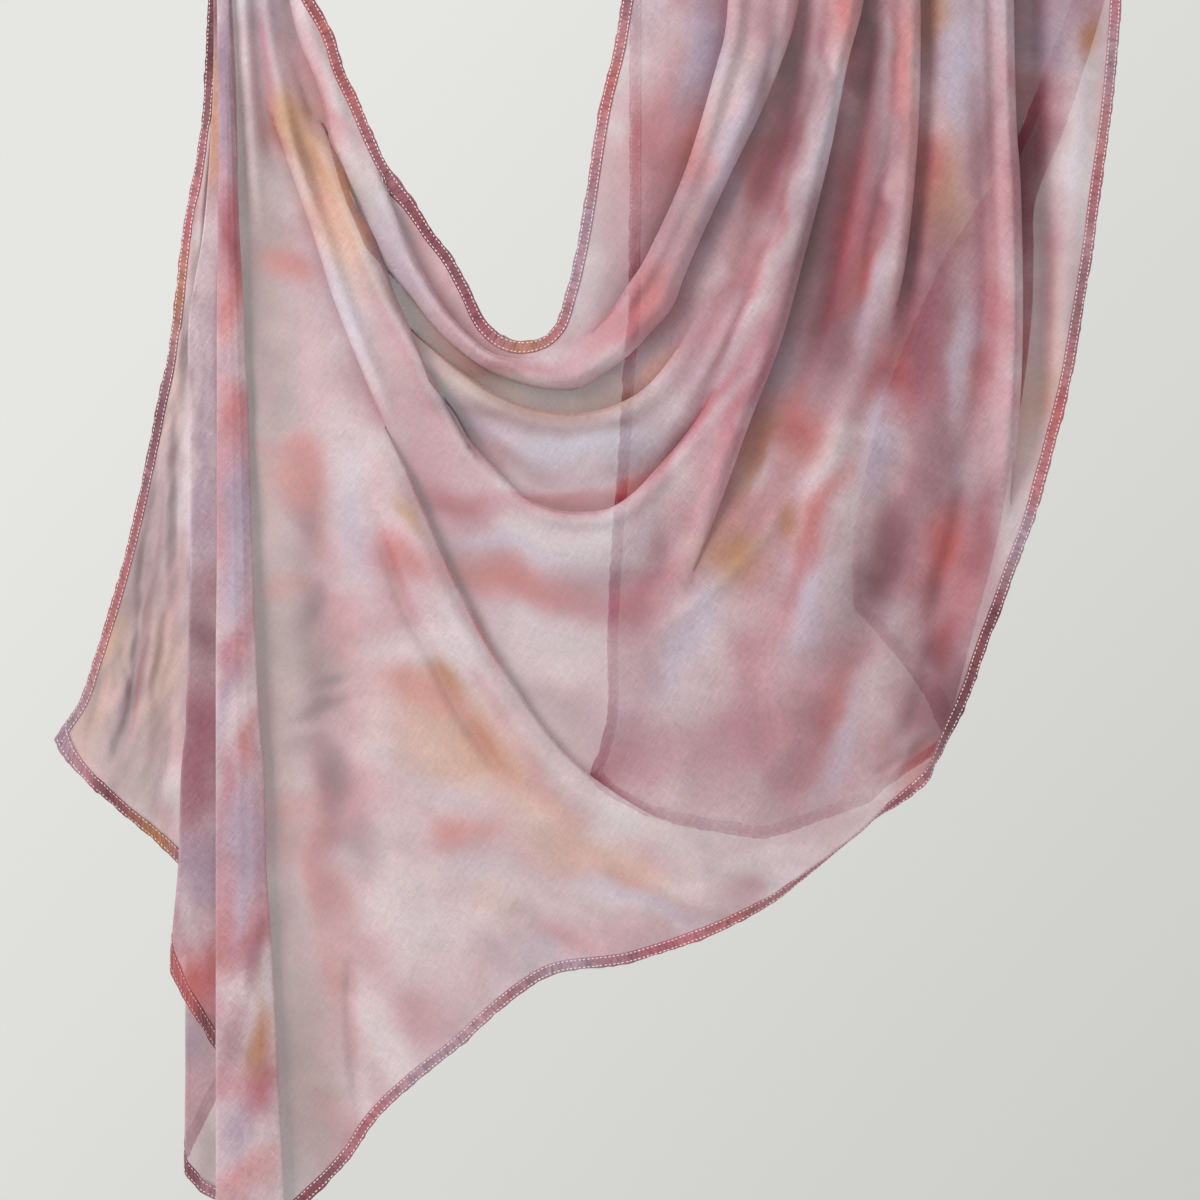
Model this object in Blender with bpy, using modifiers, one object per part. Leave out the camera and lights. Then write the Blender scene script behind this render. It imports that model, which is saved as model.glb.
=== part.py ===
"""A long hijab of thin cloth, hung over a plain rod and held at one side by a snap clip.

The cloth is one rectangle, 1.80 m x 0.75 m. It passes over the rod on the right, falls in a swag to a
bunch under the clip on the left, and its left end falls from there in pleats. Each stretch that shows
is a thin wall of its own, and so is each run of the hem. Metres, +Z up, front towards -Y. The origin
is the middle of the rod's left end face.

The outline is drawn on a front grid: `across` runs right and `down` runs down from the grid's top,
both in steps of GRID_STEP. Depths are in millimetres, positive to the back.
"""

import math

import bmesh
import bpy
import numpy as np

MM = 0.001
GRID_STEP = 0.69 * MM  # one step of the front grid
ROD_ACROSS = 150.0  # grid column of the rod's left end
ROD_DOWN = -62.0  # grid row of the rod's axis

ROD_LENGTH = 720 * MM
ROD_RADIUS = 12.5 * MM
ROD_EDGE = 1 * MM
ROD_SIDES = 48

WALL = 1.0 * MM  # thickness of the cloth's walls
HEM_WIDTH = 8.0 * MM
HEM_WALL = 1.8 * MM
GAP = 0.3 * MM  # between pieces that meet
CLOTH_ON_ROD = ROD_RADIUS + 2 * GAP + HEM_WALL / 2  # radius of the cloth where it bends over the rod
WRAP_DOWN = CLOTH_ON_ROD * math.pi / 2 / GRID_STEP  # grid rows from the rod's side to its top

CLIP_INNER = 19.0 * MM
CLIP_WALL = 2.0 * MM
CLIP_LENGTH = 52 * MM
CLIP_ACROSS = 245.0  # grid column of the clip's middle
CLIP_FORWARD = 6.0 * MM  # the clip's axis is in front of the rod's
CLIP_OPENING = math.radians(75)  # half of the mouth, which faces down
CLIP_STEPS = 25

# The drape's upper edge, from the bunch to the rod.
UPPER_EDGE = [  # across, down, depth
    (229, -64, -13.4), (250, -64, -13.4), (272, -62, -13.4), (314, 0, -17), (344, 69, -20), (375, 138, -22),
    (413, 199, -24), (452, 256, -26), (486, 321, -28), (505, 337, -28), (524, 341, -28), (543, 337, -28),
    (564, 299, -27), (582, 218, -25), (602, 96, -20), (614, 48, -17), (622, 0, -15), (633, -62, -14),
]
# The drape's lower edge, from its hidden left corner to the rod.
LOWER_EDGE = [
    (240, 1268, -14), (262, 1246, -14), (310, 1200, -16), (356, 1151, -18), (421, 1078, -20),
    (497, 1013, -22), (547, 977, -24), (623, 964, -26), (707, 937, -28), (780, 902, -30), (842, 858, -30),
    (894, 812, -28), (933, 777, -26), (952, 736, -25), (985, 651, -23), (1015, 571, -22), (1038, 510, -21),
    (1059, 431, -20), (1083, 314, -19), (1101, 191, -18), (1112, 115, -17), (1122, 0, -15), (1125, -62, -14),
]
# Folds of the drape: a ridge is positive and a trough negative, in mm towards the front.
FOLDS = [  # name, height, half_width, line of across, down from the rod or the bunch
    ("roll_top", 7, 34, [(764, -62), (760, 20), (738, 100), (700, 200), (660, 290), (600, 352), (540, 374),
                         (490, 362), (440, 312), (390, 232), (350, 150), (300, 20)]),
    ("upper_trough", -7, 28, [(812, -62), (806, 20), (770, 130), (720, 240), (670, 336), (610, 392),
                              (550, 402), (490, 388), (430, 338), (385, 262), (340, 160), (310, 90)]),
    ("second_roll", 6, 34, [(640, 425), (600, 438), (550, 440), (480, 418), (420, 366), (370, 290),
                            (330, 210), (290, 110)]),
    ("third_trough", -5, 34, [(700, 420), (646, 490), (600, 515), (560, 512), (500, 478), (455, 420),
                              (413, 350)]),
    ("pleat_two", 9, 26, [(852, -62), (846, 20), (818, 140), (775, 270), (730, 380), (690, 480),
                          (640, 550)]),
    ("pleat_three", 8, 24, [(908, -62), (908, 60), (902, 200), (880, 320), (852, 430), (815, 540)]),
    ("valley_two", -9, 20, [(880, -62), (872, 40), (856, 160), (830, 270)]),
    ("pleat_four", 6, 24, [(958, -62), (960, 80), (958, 220), (940, 380), (915, 520)]),
    ("valley_four", -5, 18, [(932, -62), (932, 60), (930, 200), (918, 320)]),
    ("pleat_five", 9, 26, [(996, -62), (994, 80), (1000, 240), (1000, 400), (980, 520)]),
    ("side_valley", -8, 24, [(1034, -62), (1034, 80), (1040, 240), (1036, 360), (1016, 480)]),
    ("long_crease", -6, 30, [(262, 60), (291, 172), (333, 298), (383, 421), (436, 536), (490, 646),
                             (543, 726), (610, 790)]),
    ("belly", 9, 150, [(420, 560), (540, 800), (700, 870), (850, 760)]),
    ("lower_fall", 6, 60, [(300, 300), (330, 600), (350, 900), (350, 1080)]),
]

LEAVE = 45.0  # grid steps that the drape's cross lines run square to its upper edge
ARRIVE = 0.28  # share of a cross line that comes square to the lower edge
EDGE_WINDOW = 0.05  # share of an edge on each side of a point that its direction is taken over
DRAPE_LINES = 41
LINE_STEPS = 61
DRAPE_STEPS = 26  # points kept on each line of the drape between its hems
FIRST_LINE = 0.004  # share of the drape's edges where its hidden left side is
BUNCH_SHARE = 0.055  # the upper edge is under the clip up to this share
CORNER_SHARE = 0.02  # the lower hem starts here
WRAP_TURNS = (1.0, 1.25, 1.5, 1.75, 2.0)  # lines of the drape over the rod

# The end that hangs behind the rod: side hem, the fold on its right, the long hem folded in behind.
BACK_ROWS = [  # down, side, fold, inner_hem
    (-95, 633, 1122, 1092), (-62, 633, 1122, 1092), (0, 631, 1108, 1074), (48, 630, 1094, 1056),
    (130, 630, 1067, 1022), (201, 630, 1039, 983), (292, 629, 1037, 932), (380, 624, 1029, 895),
    (470, 618, 1014, 868), (555, 611, 997, 853), (650, 607, 972, 862), (790, 590, 930, 864),
]
BACK_END = [  # across, down along the end hem of the outer layer
    (585, 778), (636, 815), (694, 829), (751, 838), (830, 828), (898, 803), (940, 745),
]
BACK_INNER_END = [(940, 745), (907, 682), (864, 609)]  # the same hem, on the layer folded in
BACK_DEPTH = 18.0
BACK_INNER_DEPTH = 25.0
BACK_FOLD = 3.6  # depth between the two layers where they bend over the rod
BACK_EVEN = 820.0  # grid rows down to which the fall's cross rows stay nearly level
BACK_SETTLES = 140.0  # grid rows below the rod over which it takes its full depth
BACK_WAVES = [  # across at the rod, lean, half_width, depth
    (690, -0.02, 34, 4.0), (770, -0.05, 30, -4.0), (850, -0.08, 32, 4.0), (930, -0.10, 30, -3.0),
]

# The left end: edges of its falls by height, in grid columns.
TAIL_ROWS = [  # down, hem, middle_left, inner_left, front_left, front_right, hidden_right
    (-66, 212, 213, 214, 214, 236, 223), (0, 205, 209, 214, 216, 236, 225),
    (60, 202, 205, 213, 217, 237, 227), (110, 199, 203, 212, 217, 238, 228),
    (230, 180, 192, 205, 217, 241, 230), (350, 165, 182, 196, 216, 246, 232),
    (450, 145, 188, 198, 216, 250, 234), (560, 120, 188, 198, 216, 253, 236),
    (660, 90, 187, 196, 216, 258, 238), (741, 50, 182, 192, 216, 262, 239),
    (868, 50, 175, 184, 216, 267, 240), (966, 50, 168, 182, 216, 274, 241),
    (1080, 50, 168, 182, 216, 279, 242), (1180, 50, 168, 181, 216, 284, 242),
    (1300, 50, 168, 181, 216, 290, 242),
]
TAIL_TOP = -66.0
TAIL_EVEN = {"rear": 880.0, "middle": 1040.0, "inner": 1220.0, "front": 1310.0}  # as BACK_EVEN
TAIL_DEPTHS = {"inner": (14.0, 10.0), "rear": 6.0, "middle": (2.5, -2.5), "front": (-21.0, -28.0)}
BUNCH_DEPTHS = {"inner": (-13.4, -15.0), "rear": -16.8, "middle": (-18.5, -20.1), "front": (-21.5, -23.1)}
TAIL_OPENS = (-44.0, 110.0)  # grid rows over which the bunch spreads to its full depth
TAIL_RIPPLE = 2.0
REAR_END = [(50, 741), (129, 822), (176, 868), (239, 930)]
MIDDLE_END = [(239, 930), (168, 966), (242, 1086)]
INNER_END = [(242, 1086), (181, 1180), (242, 1216)]
FRONT_END = [(242, 1216), (216, 1240), (290, 1284)]
TURN = (0.46, 0.54)  # the share of a folded section where it turns over
FALL_ROWS = 15
FALL_BIAS = 1.7  # crowds the rows of a fall towards its top

CLOTH_COLOUR = (0.72, 0.50, 0.52)
HEM_COLOUR = (0.42, 0.20, 0.26)
ROD_COLOUR = (0.55, 0.42, 0.30)
CLIP_COLOUR = (0.80, 0.80, 0.78)


def smooth(t):
    """Soft step from 0 to 1."""
    t = min(max(t, 0.0), 1.0)
    return t * t * (3 - 2 * t)


def in_space(across, down, depth):
    """A point in metres from the front grid. Rows above the rod's axis bend over the rod."""
    x = (across - ROD_ACROSS) * GRID_STEP
    y = depth * MM
    z = (ROD_DOWN - down) * GRID_STEP
    if z > 0:
        turn = min(z / CLOTH_ON_ROD, math.pi / 2)
        z = abs(y) * math.sin(turn)
        y *= math.cos(turn)
    return np.array((x, y, z))


def at(rows, share):
    """The point a share of the way along the line through rows."""
    rows = np.array(rows, float)
    lengths = np.r_[0, np.cumsum(np.linalg.norm(np.diff(rows[:, :2], axis=0), axis=1))]
    return np.array([np.interp(share * lengths[-1], lengths, column) for column in rows.T])


def row_at(rows, down):
    """The other columns of a table whose first column is the row."""
    rows = np.array(rows, float)
    return [float(np.interp(down, rows[:, 0], column)) for column in rows.T[1:]]


def distance_to(line, across, down):
    """Distance from a point to a line on the grid, and the share of the line where it is nearest."""
    line = np.array(line, float)
    starts, spans = line[:-1], np.diff(line, axis=0)
    point = np.array((across, down))
    shares = np.clip(((point - starts) * spans).sum(1) / (spans**2).sum(1), 0, 1)
    gaps = np.linalg.norm(starts + shares[:, None] * spans - point, axis=1)
    nearest = int(gaps.argmin())
    return gaps[nearest], (nearest + shares[nearest]) / len(spans)


def fold_height(across, down):
    """How far the drape's folds stand out towards the front at a place on the grid, in mm."""
    height = 0.0
    for _, top, half_width, line in FOLDS:
        gap, share = distance_to(line, across, down)
        fade = smooth(min(share, 1 - share) * 6) if line[0][1] > 0 else smooth((1 - share) * 5)
        height += top * fade * math.exp(-((gap / half_width) ** 2) * 1.4)
    return height


def inward(rows, share):
    """The direction square to an edge of the drape, into the cloth."""
    ahead = at(rows, min(share + EDGE_WINDOW, 1))
    behind = at(rows, max(share - EDGE_WINDOW, 0))
    run = (ahead - behind)[:2]
    return np.array((-run[1], run[0])) / np.linalg.norm(run)


def drape_point(a, b):
    """The drape: a from its left fold to the rod, b from its upper edge to its lower edge."""
    upper, lower = at(UPPER_EDGE, a), at(LOWER_EDGE, a)
    chord = np.linalg.norm((lower - upper)[:2])
    leave = inward(UPPER_EDGE, a) * smooth(a / 0.2) + np.array((0, 1)) * (1 - smooth(a / 0.2))
    leave /= np.linalg.norm(leave)
    arrive = -inward(LOWER_EDGE, a) * smooth(a / 0.3) + np.array((0, -1)) * (1 - smooth(a / 0.3))
    arrive /= np.linalg.norm(arrive)
    first = upper[:2] + leave * LEAVE
    second = lower[:2] + arrive * chord * ARRIVE
    c = 1 - b
    place = c**3 * upper[:2] + 3 * c * c * b * first + 3 * c * b * b * second + b**3 * lower[:2]
    depth = upper[2] + (lower[2] - upper[2]) * b
    inside = smooth(min(b, 1 - b) * 9) * smooth(a * 14) * smooth((place[1] - ROD_DOWN - 16) / 70)
    return place[0], place[1], depth - inside * fold_height(*place)


def drape_line(a):
    """One line of the drape from its upper edge to its lower edge. Past a = 1 it bends over the rod."""
    if a <= 1:
        return np.array([in_space(*drape_point(a, b)) for b in np.linspace(0, 1, LINE_STEPS)])
    down = ROD_DOWN - (a - 1) * (WRAP_DOWN - GAP / GRID_STEP)
    across = [drape_point(1, b)[0] for b in np.linspace(0, 1, LINE_STEPS)]
    return np.array([in_space(place, down, -CLOTH_ON_ROD / MM) for place in across])


def folded_over(c, start, fold, end, first, second):
    """Across and depth on a section that runs from start to a fold and back over itself to end."""
    radius = abs(second - first) / 2 * MM / GRID_STEP
    side = 1 if fold > start else -1
    middle = fold - side * radius
    if c <= TURN[0]:
        return start + (middle - start) * c / TURN[0], first
    if c >= TURN[1]:
        return middle + (end - middle) * (c - TURN[1]) / (1 - TURN[1]), second
    angle = math.pi * (c - TURN[0]) / (TURN[1] - TURN[0])
    return middle + side * radius * math.sin(angle), first + (second - first) * (1 - math.cos(angle)) / 2


def fall_row(g, top, end, even):
    """The row a share g of the way down a fall. Near the top, rows are level whatever the fall's end is."""
    return top + even * g + (end - top - even) * g * g


def folded_end(c, first, second):
    """The row where a folded section ends: along first up to the fold, and then along second."""
    if c <= TURN[0]:
        return at(first, c / TURN[0])[1]
    if c >= TURN[1]:
        return at(second, (c - TURN[1]) / (1 - TURN[1]))[1]
    return second[0][1]


def back_point(g, c):
    """The end behind the rod: g from the rod's top down to its hem, c from the side hem to the inner one."""
    top = ROD_DOWN - WRAP_DOWN + GAP / GRID_STEP
    down = fall_row(g, top, folded_end(c, BACK_END, BACK_INNER_END), BACK_EVEN)
    side, fold, inner = row_at(BACK_ROWS, down)
    hang = smooth((down - ROD_DOWN) / BACK_SETTLES)
    outer_depth = CLOTH_ON_ROD / MM + (BACK_DEPTH - CLOTH_ON_ROD / MM) * hang
    inner_depth = outer_depth + BACK_FOLD + (BACK_INNER_DEPTH - BACK_DEPTH - BACK_FOLD) * hang
    across, depth = folded_over(c, side, fold, inner, outer_depth, inner_depth)
    if c < TURN[0]:
        for start, lean, half_width, height in BACK_WAVES:
            gap = (across - start - lean * (down - ROD_DOWN)) / half_width
            depth += hang * height * math.exp(-gap * gap) * smooth((TURN[0] - c) * 12)
    return in_space(across, down, depth)


def tail_depth(name, down, layer=None):
    """Depth of a fall of the left end at a row: tight in the bunch, spread below the rod."""
    opened = smooth((down - TAIL_OPENS[0]) / (TAIL_OPENS[1] - TAIL_OPENS[0]))
    bunch, hanging = BUNCH_DEPTHS[name], TAIL_DEPTHS[name]
    if layer is not None:
        bunch, hanging = bunch[layer], hanging[layer]
    return bunch + (hanging - bunch) * opened


def tail_space(across, down, depth):
    """A point of the bunch or the falls under it. The bunch stands straight in front of the rod."""
    return np.array(((across - ROD_ACROSS) * GRID_STEP, depth * MM, (ROD_DOWN - down) * GRID_STEP))


def rear_point(g, c):
    """The rearmost fall of the left end: g down, c from its hem to its hidden right edge."""
    down = fall_row(g, TAIL_TOP, at(REAR_END, c)[1], TAIL_EVEN["rear"])
    hem, _, _, _, _, hidden = row_at(TAIL_ROWS, down)
    across = hem + (hidden - hem) * c
    inside = smooth(c * 5) * smooth((1 - c) * 5)
    ripple = TAIL_RIPPLE * smooth(down / 300) * math.sin(c * 9 + down / 90) * inside
    return tail_space(across, down, tail_depth("rear", down) + ripple)


def pleat_point(name, column, end):
    """A maker of points for a pleat with a fold on its left: c runs from its back layer to its front one."""
    def point(g, c):
        down = fall_row(g, TAIL_TOP, folded_end(c, end[:2], end[1:]), TAIL_EVEN[name])
        edges = row_at(TAIL_ROWS, down)
        left, hidden, right = edges[column], edges[5], edges[4] if name == "front" else edges[5]
        back, front = tail_depth(name, down, 0), tail_depth(name, down, 1)
        across, depth = folded_over(c, hidden, left, right, back, front)
        if name == "front" and c > TURN[1]:
            opened = smooth((down - TAIL_OPENS[0]) / 300)
            share = (c - TURN[1]) / (1 - TURN[1])
            depth -= opened * (4 * math.sin(math.pi * share) - 3 * smooth(share * 3 - 2))
        return tail_space(across, down, depth)
    return point


def normals_of(points):
    """Directions square to a grid of points."""
    points = np.array(points)
    square = np.cross(np.gradient(points, axis=0), np.gradient(points, axis=1))
    return square / np.linalg.norm(square, axis=2)[:, :, None]


def cut(grid, start, end, spacing=None):
    """Part of a grid of points and normals: on each line, between two distances from its start or end.

    Without a spacing each line keeps its own points where only its end ones are cut off.
    """
    pieces = []
    for points, normals in zip(*grid):
        lengths = np.r_[0, np.cumsum(np.linalg.norm(np.diff(points, axis=0), axis=1))]
        whole = lengths[-1]
        first = whole + start if start < 0 else min(start, 0.45 * whole)
        last = whole + max(end, -0.45 * whole) if end <= 0 else min(end, 0.43 * whole)
        if spacing is None and lengths[1] > first and lengths[-2] < last:
            places = np.clip(lengths, first, last)
        else:
            places = first + (last - first) * (lengths / whole if spacing is None else np.asarray(spacing))
        parts = points, normals
        pieces.append([[np.interp(places, lengths, column) for column in part.T] for part in parts])
    pieces = np.array(pieces).transpose(1, 0, 3, 2)
    return pieces[0], pieces[1]


def turned(grid):
    """The same grid with its lines and columns changed over."""
    return tuple(part.transpose(1, 0, 2) for part in grid)


def material(name, colour, roughness):
    made = bpy.data.materials.new(name)
    made.use_nodes = True
    shader = made.node_tree.nodes["Principled BSDF"]
    shader.inputs["Base Color"].default_value = (*colour, 1)
    shader.inputs["Roughness"].default_value = roughness
    return made


def wall(name, grid, thickness, look):
    """A closed wall on both sides of a grid of points: two grids, joined along their rims."""
    points, normals = grid
    rows, columns = points.shape[:2]
    mesh = bmesh.new()
    for side in (0.5, -0.5):
        made = bmesh.ops.create_grid(mesh, x_segments=columns - 1, y_segments=rows - 1, size=1)["verts"]
        for index, vertex in enumerate(made):
            place = index // columns, index % columns
            vertex.co = points[place] + normals[place] * thickness * side
    rims = [edge for edge in mesh.edges if edge.is_boundary]
    bmesh.ops.bridge_loops(mesh, edges=rims)
    bmesh.ops.recalc_face_normals(mesh, faces=mesh.faces)
    data = bpy.data.meshes.new(name)
    mesh.to_mesh(data)
    mesh.free()
    data.materials.append(look)
    data.shade_smooth()
    piece = bpy.data.objects.new(name, data)
    collection.objects.link(piece)


def build_drape():
    """The drape and the hems on its upper and lower edges."""
    shares = np.r_[np.linspace(FIRST_LINE, 1, DRAPE_LINES + 1)[:-1], WRAP_TURNS]
    lines = np.array([drape_line(a) for a in shares])
    grid = lines, normals_of(lines)
    inset = HEM_WIDTH + GAP
    wall("front_drape", cut(grid, inset, -inset, np.linspace(0, 1, DRAPE_STEPS)), WALL, cloth)
    bunched = shares < BUNCH_SHARE
    free = tuple(part[~bunched] for part in grid)
    wall("hem_upper", cut(free, 0, HEM_WIDTH, (0, 1)), HEM_WALL, hem)
    lower = tuple(part[shares > CORNER_SHARE] for part in grid)
    wall("hem_lower", cut(lower, -HEM_WIDTH, 0, (0, 1)), HEM_WALL, hem)


def build_fall(name, make_point, columns, rows, side=False, far_side=False, hem_names=()):
    """A hanging fall and its hems: on its first side, on its far side and at its end."""
    points = np.array([[make_point(g, c) for g in rows] for c in columns])
    grid = points, normals_of(points)
    inset = HEM_WIDTH + GAP
    body = turned(cut(grid, 0, -inset))
    names = dict(hem_names)
    if side:
        wall(names["side"], cut(body, 0, HEM_WIDTH, (0, 1)), HEM_WALL, hem)
    if far_side:
        wall(names["far"], cut(body, -HEM_WIDTH, 0, (0, 1)), HEM_WALL, hem)
    wall(names["end"], cut(grid, -HEM_WIDTH, 0, (0, 1)), HEM_WALL, hem)
    if side or far_side:
        body = cut(body, inset if side else 0, -inset if far_side else 0)
    wall(name, body, WALL, cloth)


def build_back():
    """The end behind the rod with its hems."""
    columns = np.r_[np.linspace(0, TURN[0], 13), np.linspace(*TURN, 5)[1:], np.linspace(TURN[1], 1, 3)[1:]]
    rows = np.r_[np.linspace(0, 0.042, 7), np.linspace(0.07, 1, 11)]
    hems = (("side", "hem_back_side"), ("far", "hem_back_fold"), ("end", "hem_back_end"))
    build_fall("back_tail", back_point, columns, rows, True, True, hems)


def build_tail():
    """The left end: its four falls, their runs of the end hem, and the side hem."""
    hems = (("side", "hem_tail_side"), ("end", "hem_end_rear"))
    rows = np.linspace(0, 1, FALL_ROWS) ** FALL_BIAS
    build_fall("tail_rear", rear_point, np.linspace(0, 1, 7), rows, True, False, hems)
    columns = np.r_[0, TURN[0] / 2, np.linspace(*TURN, 5), 0.7, 0.85, 1]
    falls = (("middle", 1, MIDDLE_END), ("inner", 2, INNER_END), ("front", 3, FRONT_END))
    for name, column, bottom in falls:
        point = pleat_point(name, column, bottom)
        names = (("end", "hem_end_" + name),)
        build_fall("tail_" + name + "_pleat", point, columns, rows, hem_names=names)


def build_rod():
    """The round rod, lying along +X from its left end."""
    bpy.ops.mesh.primitive_cylinder_add(vertices=ROD_SIDES, radius=ROD_RADIUS, depth=ROD_LENGTH)
    rod = bpy.context.object
    rod.name = rod.data.name = "rod"
    rod.rotation_euler = (0, math.pi / 2, 0)
    rod.location = (ROD_LENGTH / 2, 0, 0)
    bpy.ops.object.transform_apply(rotation=True)
    edge = rod.modifiers.new("edge", "BEVEL")
    edge.width = ROD_EDGE
    edge.segments = 2
    edge.limit_method = "ANGLE"
    rod.data.shade_smooth()
    rod.data.materials.append(material("rod_wood", ROD_COLOUR, 0.45))
    collect(rod)


def build_clip():
    """The snap clip: a strip bent round the rod and the bunch, open at the bottom."""
    turns = np.linspace(-math.pi / 2 + CLIP_OPENING, math.pi * 3 / 2 - CLIP_OPENING, CLIP_STEPS)
    out = np.column_stack((0 * turns, np.cos(turns), np.sin(turns)))
    middle = np.array(((CLIP_ACROSS - ROD_ACROSS) * GRID_STEP, -CLIP_FORWARD, 0))
    half = np.array((CLIP_LENGTH / 2, 0, 0))
    ring = middle + out * (CLIP_INNER + CLIP_WALL / 2)
    grid = np.array((ring - half, ring + half)), np.array((out, out))
    wall("clip", grid, CLIP_WALL, material("clip_plastic", CLIP_COLOUR, 0.35))


def collect(piece):
    """Moves a piece into the object's collection."""
    for holder in list(piece.users_collection):
        holder.objects.unlink(piece)
    collection.objects.link(piece)


for old in list(bpy.data.objects):
    bpy.data.objects.remove(old)
collection = bpy.data.collections.new("hung_hijab")
bpy.context.scene.collection.children.link(collection)
cloth = material("voile", CLOTH_COLOUR, 0.8)
hem = material("voile_hem", HEM_COLOUR, 0.8)
build_rod()
build_clip()
build_drape()
build_back()
build_tail()
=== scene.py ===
"""The looks of a long see-through hijab, hung over a rod and held in a bunch by a clip.

Places on the cloth are on the part's front grid: across to the right and down, in steps of GRID metres.
Depths are in millimetres, positive to the back. A fall is a stretch of cloth that hangs on its own, with
g the share of the way down it and c the share of the way across it.
"""

import math
from functools import cache

import bmesh
import bpy
import numpy as np
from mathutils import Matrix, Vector
from mathutils.geometry import delaunay_2d_cdt
from mathutils.kdtree import KDTree


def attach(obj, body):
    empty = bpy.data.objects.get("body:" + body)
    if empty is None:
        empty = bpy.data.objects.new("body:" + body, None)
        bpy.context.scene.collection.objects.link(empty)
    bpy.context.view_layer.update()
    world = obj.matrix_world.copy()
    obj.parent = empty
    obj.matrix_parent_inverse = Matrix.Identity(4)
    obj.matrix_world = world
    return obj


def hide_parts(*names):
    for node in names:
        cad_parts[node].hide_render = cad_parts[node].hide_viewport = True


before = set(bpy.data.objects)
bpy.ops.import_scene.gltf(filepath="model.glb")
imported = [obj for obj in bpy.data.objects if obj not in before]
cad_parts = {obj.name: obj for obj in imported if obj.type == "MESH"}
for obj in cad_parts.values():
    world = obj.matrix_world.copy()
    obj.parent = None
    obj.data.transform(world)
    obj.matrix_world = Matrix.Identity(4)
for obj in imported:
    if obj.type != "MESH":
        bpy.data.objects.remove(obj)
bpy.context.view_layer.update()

bl_info = {
    "name": "Hung hijab",
    "version": (1, 0, 0),
    "blender": (4, 5, 0),
    "location": "3D View > Sidebar > Hijab",
    "description": "A long see-through hijab with a dyed wash, hung over a rod and clipped at one side",
    "category": "Add Mesh",
}

MM = 0.001
GRID = 0.69 * MM
ROD_ACROSS = 150.0  # the rod's left end
ROD_DOWN = -62.0  # the rod's axis
ON_ROD = 14.0  # mm from the rod's axis to the cloth that bends over it
ROD_TOP = ROD_DOWN - ON_ROD * MM * math.pi / 2 / GRID
FRAME_ACROSS = 600.0  # the middle of the view
FRAME_DOWN = 600.0
FRAME_WIDTH = 1200 * GRID
SENSOR = 36  # mm
OPENS_AT = -52.0  # the row where folds start to open below the rod
OPENS_OVER = 46.0  # and the rows that they take to open
HELD_ABOVE = -60.0  # a fold whose line ends above this row runs on into the rod or the bunch
DEEPEST = (-48, 11)  # mm, the furthest that the drape goes to the front and to the back
ROW_STEP = 0.866  # from row to row of the drape's points, where the points of a row are 1 apart
TUCKED = 0.6 * MM  # how far the cloth goes in under its hems
HEM_STEP = 2 * MM  # from ring to ring of a hem
HEM_COVER = 0.86  # share of the light that a hem stops
LATTICE = 64  # cells of noise before it repeats
HEM_SECTION = (  # share across the hem, share of half its thickness
    (0, 0), (0.04, 0.8), (0.16, 0.55), (0.5, 1.0), (0.84, 0.55), (0.96, 0.8), (1, 0), (0.96, -0.8), (0.84, -0.55),
    (0.5, -1.0), (0.16, -0.55), (0.04, -0.8),
)
STITCH_ROWS = (0.17, 0.84)  # shares across the hem
FLOOR_RADIUS = 3.4  # metres
FLOOR_PLACE = (0.31, 0, -1.5)
FLOOR_FADES = (0.9, 3.2)  # from full to nothing, in metres from its middle
LIGHTS = {  # side of the square light and its place, in metres
    "key": (1.3, (-1.7, -1.8, 1.0)),
    "fill": (2.0, (2.2, -1.8, -0.2)),
    "back": (2.0, (1.6, 2.4, 1.0)),
}

# Outer rim of the drape's upper hem, from the bunch to the rod.
UPPER_HEM = [  # across, down
    (229, -64), (250, -64), (272, -62), (314, 0), (333, 34), (344, 69), (360, 103), (375, 138), (390, 168),
    (413, 199), (432, 230), (452, 256), (471, 291), (486, 321), (505, 337), (524, 341), (543, 337), (555, 325),
    (564, 299), (574, 260), (582, 218), (589, 172), (602, 96), (614, 48), (622, 0), (633, -62),
]
# Outer rim of the drape's lower hem, from its hidden corner to the rod.
LOWER_HEM = [
    (240, 1268), (262, 1246), (310, 1200), (337, 1174), (356, 1151), (369, 1130), (383, 1113), (421, 1078),
    (459, 1048), (497, 1013), (532, 986), (547, 977), (600, 967), (623, 964), (665, 952), (707, 937), (749, 918),
    (780, 902), (807, 883), (842, 858), (870, 836), (894, 812), (915, 794), (933, 777), (952, 736), (972, 690),
    (985, 651), (1004, 602), (1015, 571), (1038, 510), (1047, 477), (1059, 431), (1066, 404), (1083, 314),
    (1095, 239), (1101, 191), (1112, 115), (1117, 67), (1122, 0), (1125, -62),
]
# How far the lower hem is turned on edge, by its place across.
LOWER_HEM_TURNS = [  # across, degrees
    (240, 0), (700, 0), (760, 35), (810, 62), (850, 80), (880, 80), (905, 30), (925, 0), (938, 55), (960, 15),
    (980, 0), (1130, 0),
]
# The drape's left side, where it goes round behind the front pleat.
LEFT_SIDE = [(229, -64), (223, 0), (219, 100), (218, 400), (219, 900), (222, 1200), (226, 1262), (240, 1268)]
LEFT_SIDE_END = 1250  # down
BUNCH_SIDE = 232  # across, where the cloth comes out of the bunch
UPPER_HEM_START = 290  # across, where its hem does
CORNER_SIDE = 236  # across, where the lower edge starts

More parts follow.
